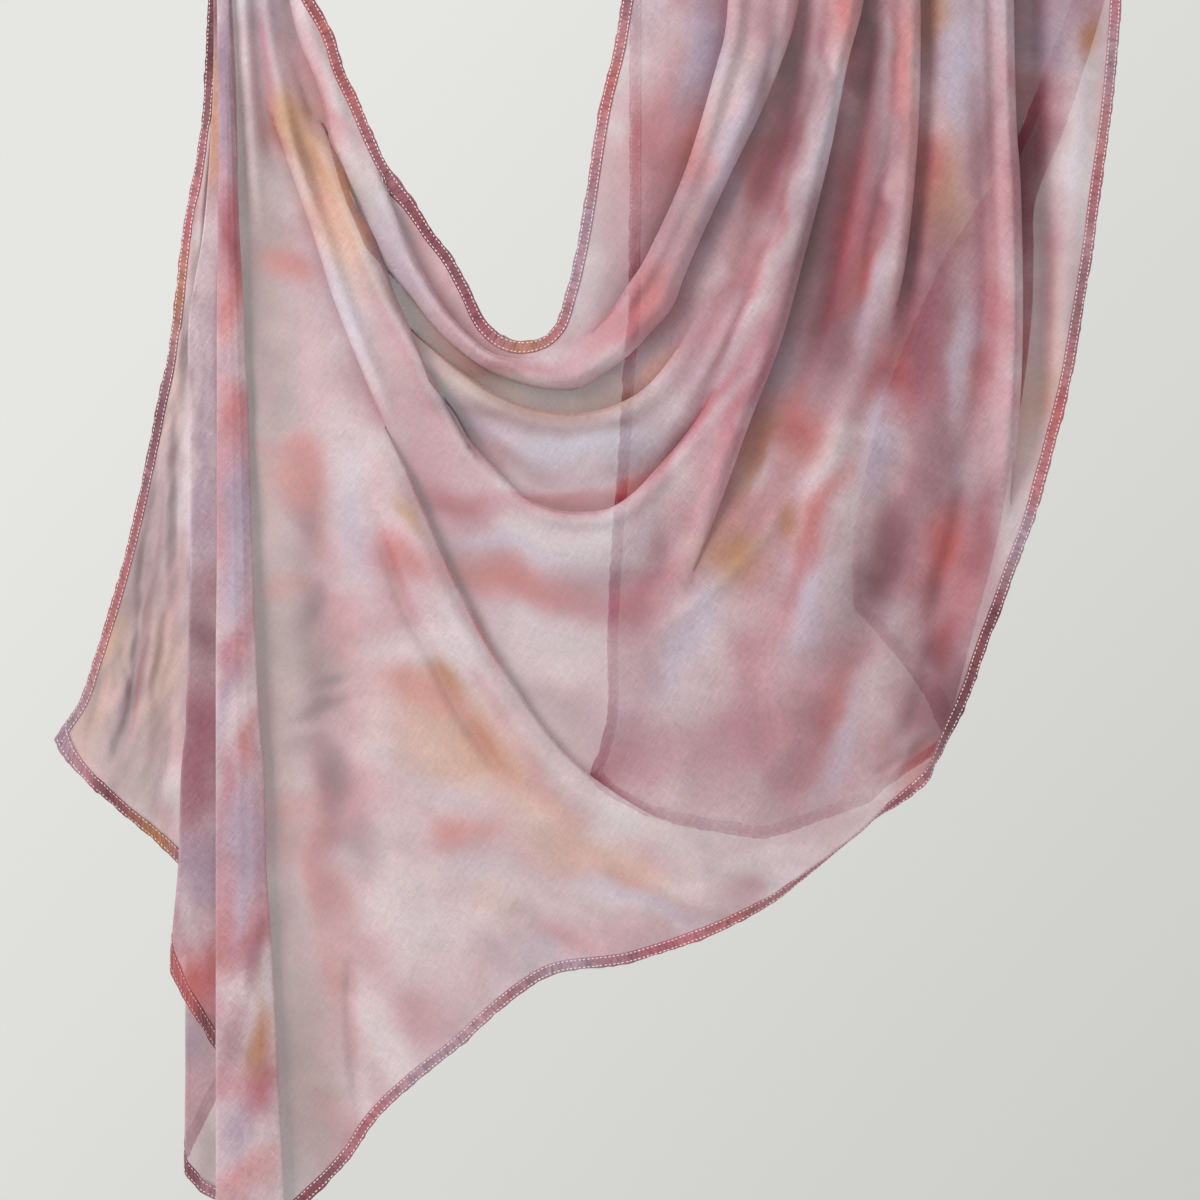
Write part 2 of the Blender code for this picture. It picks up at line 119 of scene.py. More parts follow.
# Depths of the drape before its folds, at pegs all round it and on its belly.
DRAPE_PEGS = [  # across, down, depth
    (229, -64, -13.4), (250, -64, -13.4), (272, -62, -13.4), (314, 0, -17), (344, 69, -20), (375, 138, -22),
    (413, 199, -24), (452, 256, -26), (486, 321, -28), (524, 341, -28), (564, 299, -27), (582, 218, -25),
    (602, 96, -20), (614, 48, -17), (622, 0, -15), (633, -62, -14), (720, -62, -14), (810, -62, -14), (900, -62, -14),
    (990, -62, -14), (1070, -62, -14), (1125, -62, -14), (1122, 0, -15), (1112, 115, -17), (1101, 191, -18),
    (1083, 314, -19), (1059, 431, -20), (1038, 510, -21), (1015, 571, -22), (985, 651, -23), (952, 736, -25),
    (933, 777, -26), (894, 812, -28), (842, 858, -30), (780, 902, -30), (707, 937, -28), (623, 964, -26),
    (547, 977, -24), (497, 1013, -22), (421, 1078, -20), (356, 1151, -18), (310, 1200, -16), (262, 1246, -14),
    (240, 1268, -14), (219, 0, -14), (219, 200, -14), (218, 600, -14), (219, 900, -14), (222, 1200, -14),
    (700, 870, -34), (540, 800, -30), (850, 760, -32), (420, 560, -24), (700, 0, -17), (850, 0, -17), (1000, 0, -17),
]

# Folds that turn over: the cloth's far side is tucked under the near side along the line.
OVERLAPS = {  # tuck, reach, lift, roll, hidden side (1 is right of the line), line of across, down
    "swag_roll": (3, 13, 9, 44, -1, [(799, -70), (799, 0), (768, 96), (726, 184), (683, 280), (671, 311), (654, 329),
        (630, 355), (601, 376), (577, 390), (555, 391), (497, 375), (440, 333), (402, 283), (367, 230), (333, 142),
        (316, 80), (299, 41), (289, 0), (272, -70)]),
    "swag_hollow": (3, 14, 8, 40, -1, [(318, 92), (333, 142), (344, 176), (383, 268), (413, 325), (452, 364),
        (497, 394), (547, 411), (600, 410), (640, 392), (676, 350), (705, 296)]),
    "long_fold": (3, 40, 9, 60, -1, [(366, 382), (383, 421), (413, 482), (436, 536), (459, 586), (490, 646),
        (517, 688), (543, 726), (574, 761), (612, 790), (660, 818), (720, 834)]),
    "peach_roll_left": (2, 14, 7, 34, 1, [(262, 88), (268, 107), (291, 172), (314, 237), (333, 298), (356, 356),
        (383, 421), (402, 462)]),
    "peach_roll_right": (2, 14, 7, 34, -1, [(298, 78), (313, 110), (357, 207), (387, 277), (413, 333), (440, 390),
        (477, 460), (500, 498)]),
    "second_pleat": (6, 22, 9, 36, -1, [(866, -70), (864, 0), (849, 57), (830, 153), (803, 260), (780, 344),
        (753, 413), (715, 517), (692, 574), (672, 614)]),
    "side_pleat": (7, 24, 9, 32, -1, [(1013, -70), (1014, 0), (1015, 76), (1017, 134), (1020, 172), (1022, 230),
        (1023, 300), (1021, 383), (1015, 470), (1006, 540)]),
    "under_fold": (3, 14, 7, 34, -1, [(405, 322), (430, 372), (459, 413), (474, 441), (498, 470), (522, 494),
        (550, 508), (582, 512), (610, 508), (632, 494), (655, 470), (678, 444), (704, 408), (724, 366)]),
    "third_pleat": (3, 12, 6, 26, -1, [(921, -70), (921, 0), (920, 90), (915, 180), (906, 260), (890, 340)]),
    "first_pleat": (4, 16, 9, 34, 1, [(729, -70), (728, 0), (724, 38), (716, 67), (708, 96), (697, 134), (683, 176),
        (670, 207), (655, 239), (640, 268), (628, 285), (607, 317), (591, 333), (577, 343), (560, 351)]),
    "inner_roll": (3, 12, 4, 20, 1, [(560, 351), (540, 357), (497, 356), (459, 325), (421, 268), (398, 214),
        (380, 172), (362, 130)]),
}

# Soft folds: a ridge is positive and a trough negative, in mm towards the front.
SOFT_FOLDS = {  # height, half width, line of across, down
    "roll_crown": (4.5, 28, [(770, -70), (766, 20), (748, 100), (712, 200), (660, 290), (600, 360), (545, 376),
        (490, 366), (440, 320), (395, 250), (350, 158), (312, 50)]),
    "hem_sliver": (-3, 12, [(560, 344), (520, 348), (480, 330), (440, 280), (405, 215), (370, 150)]),
    "second_roll": (3, 22, [(720, 330), (660, 420), (600, 442), (550, 443), (490, 424), (430, 378), (380, 306),
        (340, 226), (300, 130)]),
    "under_roll": (-3, 16, [(745, 330), (700, 408), (650, 462), (600, 484), (545, 482), (480, 444), (425, 392),
        (395, 350)]),
    "third_roll": (3, 18, [(720, 420), (660, 500), (600, 540), (540, 538), (480, 500), (440, 450)]),
    "under_third": (-4, 24, [(720, 480), (660, 560), (600, 592), (540, 590), (500, 560), (460, 500)]),
    "red_ridge": (4, 12, [(742, 300), (724, 337), (703, 382), (683, 415), (662, 443), (620, 478)]),
    "pleat_two": (6.5, 26, [(846, -70), (840, 20), (812, 130), (782, 240), (756, 330), (720, 430), (680, 520),
        (640, 590)]),
    "valley_one": (-5, 18, [(803, -70), (800, 20), (790, 110), (762, 200), (742, 280), (715, 350)]),
    "valley_two": (-6, 12, [(872, -70), (868, 40), (856, 150), (838, 240), (815, 340), (790, 420)]),
    "pleat_three": (5.5, 17, [(905, -70), (906, 50), (899, 140), (888, 240), (868, 340), (840, 430), (806, 520),
        (780, 590)]),
    "valley_three": (-4, 12, [(926, -70), (926, 50), (922, 140), (914, 240), (902, 330), (880, 430)]),
    "pleat_four": (3, 26, [(958, -70), (960, 60), (958, 180), (950, 300), (930, 430), (905, 540)]),
    "valley_four": (-3, 12, [(990, -70), (991, 60), (992, 170), (990, 290), (976, 410), (950, 520)]),
    "pleat_five": (5, 16, [(1004, -70), (1003, 60), (1006, 180), (1008, 300), (1005, 420), (990, 540)]),
    "side_valley": (-7, 18, [(1034, -70), (1033, 60), (1037, 200), (1040, 320), (1034, 430), (1012, 540)]),
    "margin_crest": (3, 16, [(1075, -40), (1078, 90), (1070, 230), (1056, 350), (1040, 460)]),
    "low_right_valley": (-5, 26, [(905, 420), (890, 520), (868, 620), (850, 710)]),
    "low_right_ridge": (5, 30, [(850, 440), (830, 540), (800, 640), (760, 740)]),
    "inner_right_ridge": (4, 22, [(980, 560), (968, 640), (945, 710)]),
    "inner_right_valley": (-5, 16, [(948, 560), (936, 640), (915, 720), (885, 770)]),
    "left_trough": (-4, 26, [(342, 466), (390, 582), (450, 670), (494, 762), (530, 820)]),
    "left_crest": (5, 34, [(300, 300), (350, 440), (410, 560), (480, 680), (560, 790)]),
    "bunch_one": (4, 9, [(262, -70), (266, 20), (280, 90), (300, 170), (322, 240)]),
    "bunch_two": (-4, 8, [(253, -70), (256, 30), (264, 110), (280, 190)]),
    "bunch_three": (3.5, 9, [(243, -70), (246, 40), (252, 150), (262, 260)]),
    "bunch_four": (-3.5, 8, [(281, -70), (290, 30), (308, 100), (326, 170)]),
    "left_fall_one": (3.5, 30, [(262, 260), (282, 480), (296, 700), (306, 900)]),
    "left_fall_two": (-3.5, 30, [(318, 460), (330, 640), (344, 820), (352, 980)]),
    "left_fall_three": (3, 34, [(380, 640), (384, 800), (392, 960), (398, 1060)]),
    "left_crease": (-3.2, 8, [(358, 466), (386, 550), (406, 610), (430, 654), (454, 702), (486, 750), (510, 782),
        (550, 802)]),
    "low_crease": (-3.0, 7, [(350, 950), (350, 1010), (354, 1072), (362, 1124)]),
    "mid_crease": (2.0, 10, [(640, 640), (700, 600), (760, 540), (800, 480)]),
    "right_crease": (-3.0, 10, [(966, 470), (952, 540), (935, 590), (926, 640)]),
    "fine_one": (-3.2, 6, [(824, -70), (824, 22), (821, 67), (798, 140), (785, 196), (757, 269), (721, 359),
        (667, 438)]),
    "fine_two": (-3.0, 6, [(896, -70), (897, 22), (896, 79), (892, 135), (883, 185), (869, 252), (861, 314),
        (841, 370)]),
    "fine_three": (2.6, 7, [(984, -70), (984, 34), (988, 170), (992, 280), (985, 400)]),
    "fine_four": (-2.6, 7, [(781, -70), (780, 17), (768, 84), (751, 146), (723, 206), (690, 262)]),
    "corner_fold": (-2.6, 8, [(930, 742), (905, 758), (874, 778)]),
    "hem_wrinkle_one": (-3, 12, [(596, 862), (640, 896), (690, 928), (720, 932)]),
    "hem_wrinkle_two": (3, 12, [(640, 868), (690, 900), (740, 915)]),
    "hem_wrinkle_three": (-2.5, 10, [(700, 868), (745, 888), (785, 892)]),
    "corner_wrinkle": (-2.5, 12, [(510, 900), (545, 930), (575, 962)]),
    "corner_crest": (2.5, 14, [(480, 900), (505, 940), (535, 975)]),
}

# Edges of the left end's falls by height, and the columns of the two right ones.
FRONT_RIGHT, HIDDEN_RIGHT = 4, 5
TAIL_ROWS = [  # down, hem, middle_left, inner_left, front_left, front_right, hidden_right
    (-66, 212, 213, 214, 214, 231, 223), (0, 207, 213, 214, 217, 230, 225), (60, 203, 212, 214, 218, 232, 227),
    (110, 200, 210, 213, 219, 235, 228), (230, 180, 201, 207, 218, 240, 230), (330, 168, 186, 197, 217, 245, 232),
    (362, 163, 186, 196, 217, 246, 232), (393, 156, 188, 197, 217, 248, 233), (450, 145, 188, 198, 217, 250, 234),
    (560, 120, 188, 198, 217, 253, 236), (660, 90, 186, 196, 216, 257, 238), (707, 73, 184, 194, 216, 259, 239),
    (734, 54, 183, 192, 216, 261, 239), (741, 50, 182, 192, 216, 262, 239), (868, 50, 176, 184, 216, 267, 240),
    (966, 50, 168, 182, 216, 273, 241), (1080, 50, 168, 182, 216, 279, 242), (1180, 50, 168, 181, 216, 284, 242),
    (1300, 50, 168, 181, 216, 290, 242),
]
REAR_FOLDS = [  # height, half width, line of across, down
    (-5.0, 6, [(142, 520), (137, 610), (130, 690), (121, 790)]), (3.6, 8, [(154, 500), (150, 620), (143, 740)]),
    (-4.0, 5, [(166, 600), (158, 660), (150, 690), (156, 712)]), (3.4, 6, [(112, 625), (104, 668), (109, 700)]),
    (-4.4, 5, [(104, 640), (98, 690), (88, 742)]), (-3.4, 6, [(172, 700), (166, 760), (152, 812)]),
    (3.0, 7, [(160, 420), (162, 520), (166, 640)]), (-3.6, 6, [(172, 380), (174, 480), (178, 600)]),
    (3.0, 5, [(96, 700), (104, 740), (112, 770)]), (-2.6, 5, [(180, 180), (182, 280), (178, 380)]),
    (2.4, 5, [(190, 120), (191, 220), (188, 330)]), (-3.4, 4, [(158, 560), (144, 590), (134, 640)]),
    (-3.2, 4, [(150, 620), (136, 662), (126, 700)]), (3.0, 4, [(146, 600), (130, 640), (120, 672)]),
    (-3.4, 4, [(130, 700), (118, 736), (104, 772)]), (3.0, 5, [(140, 700), (128, 744), (116, 784)]),
    (-3.0, 4, [(116, 640), (128, 690), (136, 730)]), (-3.0, 4, [(164, 480), (156, 520), (152, 570)]),
]
TAIL_TOP = -66.0
# How many rows of each fall are level before its end's own line takes over.
TAIL_EVEN = {"rear": 880.0, "middle": 1040.0, "inner": 1220.0, "front": 1310.0}
# Depths of each fall's back and front layer, hanging free and in the bunch.
TAIL_DEPTHS = {"inner": (14.0, 10.0), "rear": (6.0, 6.0), "middle": (2.5, -2.5), "front": (-19.0, -27.0)}
BUNCH_DEPTHS = {"inner": (-13.4, -15.0), "rear": (-16.8, -16.8), "middle": (-18.5, -20.1),
                "front": (-21.5, -23.1)}
TAIL_OPENS = (-44.0, 110.0)
# The falls' lower ends. The right part of each is hidden, and so are the ends of their back layers.
REAR_END = [(50, 741), (64, 755), (83, 776), (106, 799), (129, 822), (149, 838), (165, 854), (176, 868),
            (239, 930)]
MIDDLE_BACK_END = [(239, 930), (168, 966)]
MIDDLE_END = [(168, 966), (170, 975), (179, 1003), (195, 1024), (215, 1051), (242, 1086)]
INNER_BACK_END = [(242, 1050), (215, 1081), (205, 1102), (196, 1122), (190, 1151), (182, 1176)]
INNER_END = [(182, 1176), (196, 1196), (242, 1216)]
FRONT_BACK_END = [(242, 1216), (216, 1240)]
FRONT_END = [(216, 1240), (290, 1284)]

# The end behind the rod: its side hem, its fold on the right, and the long hem folded in behind.
BACK_ROWS = [  # down, side, fold, inner_hem
    (-95, 631, 1122, 1092), (-62, 631, 1122, 1092), (0, 630, 1108, 1074), (48, 630, 1094, 1056),
    (130, 630, 1067, 1022), (201, 630, 1039, 983), (250, 629, 1038, 950), (300, 629, 1037, 926),
    (362, 624, 1031, 900), (450, 619, 1017, 873), (540, 612, 1001, 856), (640, 607, 975, 858), (725, 606, 952, 864),
    (790, 585, 930, 864),
]
BACK_END = [(585, 780), (610, 800), (640, 816), (694, 830), (751, 838), (780, 842), (830, 827),
            (868, 815), (898, 803), (940, 745)]
BACK_INNER_END = [(940, 745), (907, 682), (864, 609)]
BACK_EVEN = 820.0
# Shares across a fall where it turns back: before the fold, at it and after it.
BACK_TURN = (0.62, 0.635, 0.65)
PLEAT_TURN = (0.42, 0.45, 0.48)
FRONT_TURN = (0.30, 0.33, 0.36)
FRONT_LIP = (0.91, 0.94, 0.955)  # the same for the narrow lip on the front pleat's right
BACK_WAVES = [  # across at the rod, lean, half width, depth
    (662, 0.0, 14, 3.5), (692, -0.02, 18, -3.0), (728, -0.03, 16, 4.0), (770, -0.05, 22, 5.5), (812, -0.07, 16, -3.5),
    (850, -0.08, 18, 4.5), (884, -0.09, 14, -3.0), (925, -0.1, 20, 5.5), (968, -0.12, 16, -3.5),
    (1006, -0.14, 18, 4.5), (1050, -0.16, 16, -2.5),
]

# The wash on the drape: soft strokes laid over an uneven pale ground.
# Part of this wash is painted light: the grey and mauve strokes beside the front pleat and inside the swag, the plum
# and wine strokes in the valleys at the upper right, and the narrow rose, wine and mauve lines along the folds are
# painted shade; the cool pale strokes and some white and lilac ones on the rolls are painted highlight; the rest is
# the dye's own pattern.
DRAPE_WASH = [  # shade, across, down, length, width, angle from across, strength
    ("mauve", 534, 412, 84, 12, 4, 0.8), ("mauve", 262, 340, 70, 14, 86, 0.6), ("grey", 266, 400, 60, 14, 88, 0.6),
    ("grey", 540, 400, 90, 14, 4, 0.7), ("mauve", 262, 330, 130, 18, 86, 0.35), ("rose", 318, 215, 60, 22, 66, 0.3),
    ("rose", 470, 905, 50, 24, 30, 0.4), ("coral", 344, 900, 44, 16, 80, 0.5), ("rose", 580, 690, 60, 26, 120, 0.35),
    ("coral", 500, 700, 40, 20, 60, 0.35), ("plum", 945, 690, 80, 20, 108, 0.75), ("wine", 912, 700, 44, 22, 60, 0.6),
    ("mauve", 1075, 330, 70, 10, 98, 0.4), ("rose", 1060, 240, 60, 12, 98, 0.45),
    ("blush", 430, 960, 50, 20, 120, 0.5), ("rose", 305, 520, 40, 14, 80, 0.5), ("mauve", 650, 560, 60, 14, 100, 0.4),
    ("rose", 640, 600, 70, 20, 110, 0.45), ("lilac", 262, 30, 70, 16, 85, 0.7), ("blush", 238, 110, 80, 16, 88, 0.5),
    ("rose", 284, 128, 26, 8, 62, 0.9), ("ochre", 301, 113, 30, 16, 55, 1.0), ("rose", 268, 60, 60, 9, 80, 0.5),
    ("peach", 325, 195, 70, 24, 66, 1.0), ("ochre", 312, 150, 34, 14, 64, 0.7), ("coral", 322, 215, 40, 10, 66, 0.5),
    ("peach", 348, 250, 50, 18, 65, 0.6), ("coral", 292, 262, 26, 12, 15, 0.6), ("grey", 266, 300, 170, 26, 84, 0.95),
    ("grey", 262, 470, 90, 22, 88, 0.8), ("white", 350, 320, 70, 20, 65, 0.7), ("coral", 303, 452, 26, 18, 60, 0.9),
    ("mauve", 298, 505, 30, 13, 80, 0.6), ("white", 345, 520, 60, 26, 80, 0.7), ("rose", 402, 560, 44, 13, 15, 0.6),
    ("mauve", 290, 595, 60, 20, 85, 0.55), ("grey", 272, 680, 130, 30, 90, 0.85),
    ("mauve", 318, 712, 32, 8, 158, 0.8), ("mauve", 300, 742, 28, 7, 160, 0.5), ("mauve", 330, 770, 44, 16, 80, 0.65),
    ("grey", 275, 800, 60, 26, 90, 0.5), ("coral", 318, 880, 60, 13, 88, 0.75), ("coral", 335, 975, 28, 15, 75, 0.95),
    ("grey", 290, 950, 90, 24, 86, 0.7), ("rose", 284, 850, 60, 18, 86, 0.4), ("rose", 262, 700, 70, 10, 90, 0.35),
    ("mauve", 305, 655, 34, 16, 80, 0.6), ("grey", 308, 1080, 110, 34, 84, 0.9), ("rose", 342, 1000, 30, 10, 86, 0.5),
    ("mauve", 336, 760, 36, 12, 96, 0.5), ("mauve", 322, 690, 26, 8, 150, 0.6), ("grey", 296, 640, 60, 34, 60, 0.8),
    ("mauve", 314, 610, 34, 14, 110, 0.6), ("grey", 356, 190, 70, 9, 63, 0.7), ("grey", 420, 322, 80, 13, 54, 0.95),
    ("grey", 500, 392, 70, 15, 18, 0.95), ("grey", 590, 402, 60, 10, 172, 0.8), ("coral", 425, 700, 36, 20, 25, 0.8),
    ("peach", 452, 750, 60, 34, 30, 0.8), ("ochre", 443, 680, 22, 14, 50, 0.9), ("ochre", 495, 752, 45, 15, 60, 0.65),
    ("white", 475, 805, 60, 18, 15, 0.6), ("coral", 455, 828, 34, 15, 150, 0.8),
    ("mauve", 370, 850, 34, 20, 80, 0.55), ("white", 410, 905, 70, 26, 120, 0.5), ("rose", 395, 985, 70, 22, 60, 0.5),
    ("white", 384, 1050, 90, 20, 62, 0.85), ("white", 366, 1120, 50, 10, 66, 0.6),
    ("rose", 345, 1130, 50, 14, 50, 0.5), ("rose", 460, 503, 44, 12, 18, 0.85), ("rose", 545, 508, 56, 9, 5, 0.7),
    ("coral", 632, 488, 44, 9, 142, 0.8), ("white", 560, 548, 76, 13, 5, 0.8), ("coral", 500, 580, 60, 18, 15, 0.65),
    ("rose", 585, 606, 64, 18, 8, 0.6), ("white", 565, 655, 80, 34, 20, 0.75), ("coral", 488, 636, 34, 9, 55, 0.8),
    ("white", 560, 740, 60, 26, 60, 0.6), ("lilac", 590, 442, 66, 18, 0, 0.9), ("lilac", 480, 412, 50, 14, 40, 0.6),
    ("mauve", 452, 395, 50, 12, 50, 0.6), ("white", 348, 92, 44, 12, 65, 0.7), ("rose", 334, 112, 34, 8, 62, 0.6),
    ("lilac", 402, 268, 66, 15, 58, 0.8), ("blush", 500, 366, 60, 9, 10, 0.6), ("rose", 628, 322, 70, 22, 138, 0.9),
    ("coral", 655, 290, 40, 12, 130, 0.6), ("rose", 520, 374, 60, 7, 5, 0.6), ("coral", 769, 150, 60, 16, 108, 0.6),
    ("rose", 700, 420, 110, 8, 124, 0.8), ("rose", 684, 95, 50, 24, 90, 0.4), ("rose", 560, 500, 66, 7, 4, 0.8),
    ("coral", 518, 582, 60, 18, 10, 0.5), ("coral", 402, 552, 44, 18, 30, 0.6), ("ochre", 414, 510, 26, 9, 62, 0.8),
    ("rose", 745, 400, 90, 9, 112, 0.7), ("wine", 812, 240, 130, 16, 104, 0.5), ("wine", 772, 330, 120, 12, 108, 0.5),
    ("rose", 330, 860, 80, 12, 88, 0.5), ("blush", 526, 845, 60, 24, 30, 0.7), ("rose", 540, 784, 44, 16, 60, 0.5),
    ("coral", 416, 690, 34, 18, 20, 0.6), ("coral", 478, 738, 26, 12, 50, 0.5), ("ochre", 530, 346, 34, 6, 0, 0.6),
    ("peach", 650, 365, 40, 9, 140, 0.6), ("rose", 655, 130, 54, 26, 90, 0.55), ("lilac", 705, 60, 56, 22, 100, 0.8),
    ("mauve", 680, 215, 60, 24, 110, 0.55), ("rose", 765, 168, 40, 22, 110, 0.8),
    ("lilac", 730, 170, 110, 15, 110, 0.8), ("mauve", 795, 110, 90, 18, 103, 0.75),
    ("wine", 780, 160, 90, 20, 106, 0.5), ("coral", 848, 10, 50, 16, 96, 0.85), ("white", 826, 130, 70, 13, 105, 0.6),
    ("wine", 868, 70, 90, 12, 95, 0.6), ("lilac", 888, 110, 60, 8, 92, 0.5), ("mauve", 878, 130, 110, 13, 94, 0.65),
    ("coral", 905, 80, 80, 14, 92, 0.8), ("lilac", 958, 70, 50, 20, 90, 0.75), ("ochre", 944, 200, 56, 24, 92, 0.75),
    ("ochre", 934, 20, 40, 14, 92, 0.6), ("coral", 930, 158, 28, 16, 90, 0.6), ("mauve", 985, 140, 100, 14, 92, 0.65),
    ("wine", 1032, 170, 90, 20, 96, 0.75), ("rose", 1024, 85, 34, 16, 60, 0.7), ("lilac", 1050, 35, 44, 26, 90, 0.7),
    ("ochre", 1087, 33, 24, 11, 100, 0.85), ("white", 1082, 130, 60, 15, 100, 0.6),
    ("wine", 830, 285, 110, 30, 102, 0.6), ("plum", 846, 306, 76, 24, 98, 0.7), ("wine", 906, 300, 60, 14, 96, 0.6),
    ("rose", 846, 250, 60, 16, 104, 0.5), ("mauve", 806, 225, 60, 26, 105, 0.75),
    ("lilac", 872, 300, 60, 12, 100, 0.6), ("coral", 862, 282, 34, 10, 104, 0.75),
    ("mauve", 940, 290, 100, 28, 92, 0.75), ("white", 966, 350, 60, 13, 100, 0.45),
    ("coral", 884, 385, 38, 26, 92, 1.0), ("rose", 878, 372, 20, 12, 90, 0.8), ("wine", 925, 370, 90, 24, 95, 0.6),
    ("rose", 992, 330, 90, 18, 92, 0.6), ("coral", 772, 420, 50, 14, 120, 0.75),
    ("coral", 797, 434, 38, 26, 104, 0.9), ("ochre", 760, 446, 60, 8, 115, 0.7),
    ("lilac", 782, 372, 50, 15, 110, 0.6), ("white", 872, 445, 54, 18, 100, 0.7),
    ("mauve", 935, 470, 60, 24, 100, 0.65), ("coral", 938, 545, 36, 20, 110, 0.95),
    ("rose", 970, 570, 100, 17, 105, 0.75), ("coral", 818, 530, 66, 14, 112, 0.95),
    ("rose", 796, 585, 44, 12, 112, 0.6), ("ochre", 733, 560, 38, 24, 112, 0.95),
    ("ochre", 790, 528, 20, 10, 110, 0.7), ("white", 700, 640, 56, 28, 112, 0.7),
    ("white", 850, 570, 60, 22, 100, 0.6), ("mauve", 882, 560, 54, 22, 110, 0.75),
    ("rose", 740, 745, 90, 40, 120, 0.4), ("coral", 822, 720, 54, 15, 106, 0.65),
    ("white", 865, 700, 54, 20, 112, 0.6), ("mauve", 800, 745, 64, 20, 110, 0.5),
    ("rose", 662, 745, 64, 30, 160, 0.4), ("plum", 948, 715, 60, 16, 110, 0.9), ("plum", 922, 752, 36, 8, 142, 0.8),
    ("coral", 912, 775, 44, 14, 142, 0.7), ("white", 868, 792, 44, 15, 150, 0.6),
    ("white", 740, 866, 90, 15, 162, 0.7), ("peach", 600, 850, 90, 20, 30, 0.6), ("white", 640, 905, 70, 13, 18, 0.7),
    ("rose", 590, 932, 70, 14, 8, 0.45), ("lilac", 505, 925, 60, 30, 60, 0.5),
    ("peach", 1042, 395, 60, 12, 105, 0.75), ("blush", 1062, 290, 80, 13, 100, 0.6),
    ("white", 1030, 500, 60, 10, 110, 0.6), ("mist", 692, 636, 60, 20, 112, 0.8),
    ("mist", 806, 612, 56, 16, 108, 0.75), ("mist", 874, 446, 60, 16, 100, 0.7), ("mist", 590, 442, 60, 14, 0, 0.7),
    ("mist", 470, 406, 50, 10, 44, 0.5), ("mist", 826, 130, 70, 11, 104, 0.6), ("mist", 966, 70, 60, 16, 90, 0.7),
    ("mist", 730, 170, 110, 12, 112, 0.6), ("mist", 966, 352, 60, 12, 100, 0.6), ("mist", 345, 300, 60, 16, 70, 0.6),
    ("mist", 352, 520, 60, 20, 80, 0.6), ("mist", 478, 806, 60, 14, 20, 0.6), ("mist", 832, 756, 60, 14, 112, 0.6),
    ("mist", 700, 36, 50, 14, 100, 0.6), ("mist", 520, 548, 60, 9, 8, 0.6), ("mist", 640, 900, 80, 10, 18, 0.6),
    ("mist", 520, 915, 60, 16, 50, 0.5), ("mist", 1082, 150, 60, 10, 98, 0.5), ("peach", 476, 756, 100, 44, 44, 0.5),
    ("peach", 560, 846, 60, 20, 24, 0.4), ("white", 446, 935, 90, 26, 140, 0.6), ("white", 560, 905, 80, 22, 18, 0.5),
    ("white", 424, 850, 50, 20, 60, 0.4), ("coral", 466, 836, 40, 14, 152, 0.6), ("peach", 500, 905, 40, 20, 30, 0.4),
    ("coral", 296, 478, 30, 22, 62, 0.9), ("coral", 292, 268, 34, 14, 12, 0.8), ("rose", 846, 230, 90, 16, 100, 0.55),
    ("coral", 700, 150, 40, 18, 110, 0.45), ("rose", 720, 300, 60, 16, 118, 0.5), ("wine", 822, 70, 90, 5, 96, 0.5),
    ("rose", 776, 215, 60, 6, 112, 0.6), ("rose", 738, 316, 60, 6, 116, 0.6), ("wine", 896, 60, 90, 5, 92, 0.5),
    ("wine", 876, 220, 70, 6, 102, 0.5), ("mauve", 772, 60, 90, 7, 96, 0.5), ("white", 690, 700, 60, 26, 112, 0.5),
    ("blush", 400, 900, 60, 24, 120, 0.35), ("mauve", 560, 424, 60, 8, 176, 0.45),
    ("wine", 500, 412, 44, 6, 20, 0.35), ("plum", 762, 70, 90, 12, 100, 0.45), ("wine", 706, 226, 60, 12, 116, 0.4),
    ("mauve", 262, 340, 80, 14, 86, 0.5), ("mauve", 540, 414, 84, 11, 4, 0.4), ("peach", 500, 392, 90, 13, 18, 0.35),
    ("peach", 424, 326, 80, 11, 54, 0.35), ("peach", 594, 402, 60, 9, 172, 0.35),
    ("coral", 286, 590, 30, 10, 170, 0.5), ("rose", 276, 452, 34, 12, 20, 0.5), ("coral", 300, 800, 34, 12, 150, 0.4),
]
# The washes of the left end's falls, of the end behind the rod and of the hems, by the same columns.
REAR_WASH = [
    ("peach", 190, 150, 60, 12, 95, 0.8), ("mauve", 206, 30, 70, 8, 92, 0.7), ("white", 175, 290, 60, 16, 100, 0.4),
    ("rose", 194, 236, 70, 10, 97, 0.5), ("peach", 168, 400, 60, 16, 100, 0.5), ("mauve", 150, 520, 70, 14, 105, 0.8),
    ("rose", 172, 600, 50, 12, 95, 0.6), ("grey", 134, 620, 90, 22, 108, 0.75), ("mauve", 140, 640, 70, 7, 104, 0.6),
    ("grey", 150, 706, 60, 12, 100, 0.6), ("blush", 150, 480, 70, 20, 104, 0.5), ("peach", 160, 670, 60, 22, 95, 0.6),
    ("grey", 86, 722, 26, 20, 90, 0.7), ("mauve", 126, 715, 60, 9, 103, 0.85), ("grey", 130, 780, 50, 24, 60, 0.8),
    ("rose", 164, 825, 30, 14, 60, 0.5), ("ochre", 104, 652, 46, 10, 108, 0.9), ("peach", 96, 700, 60, 16, 106, 0.7),
    ("mauve", 160, 560, 90, 6, 100, 0.6), ("mauve", 100, 700, 40, 6, 110, 0.6),
]
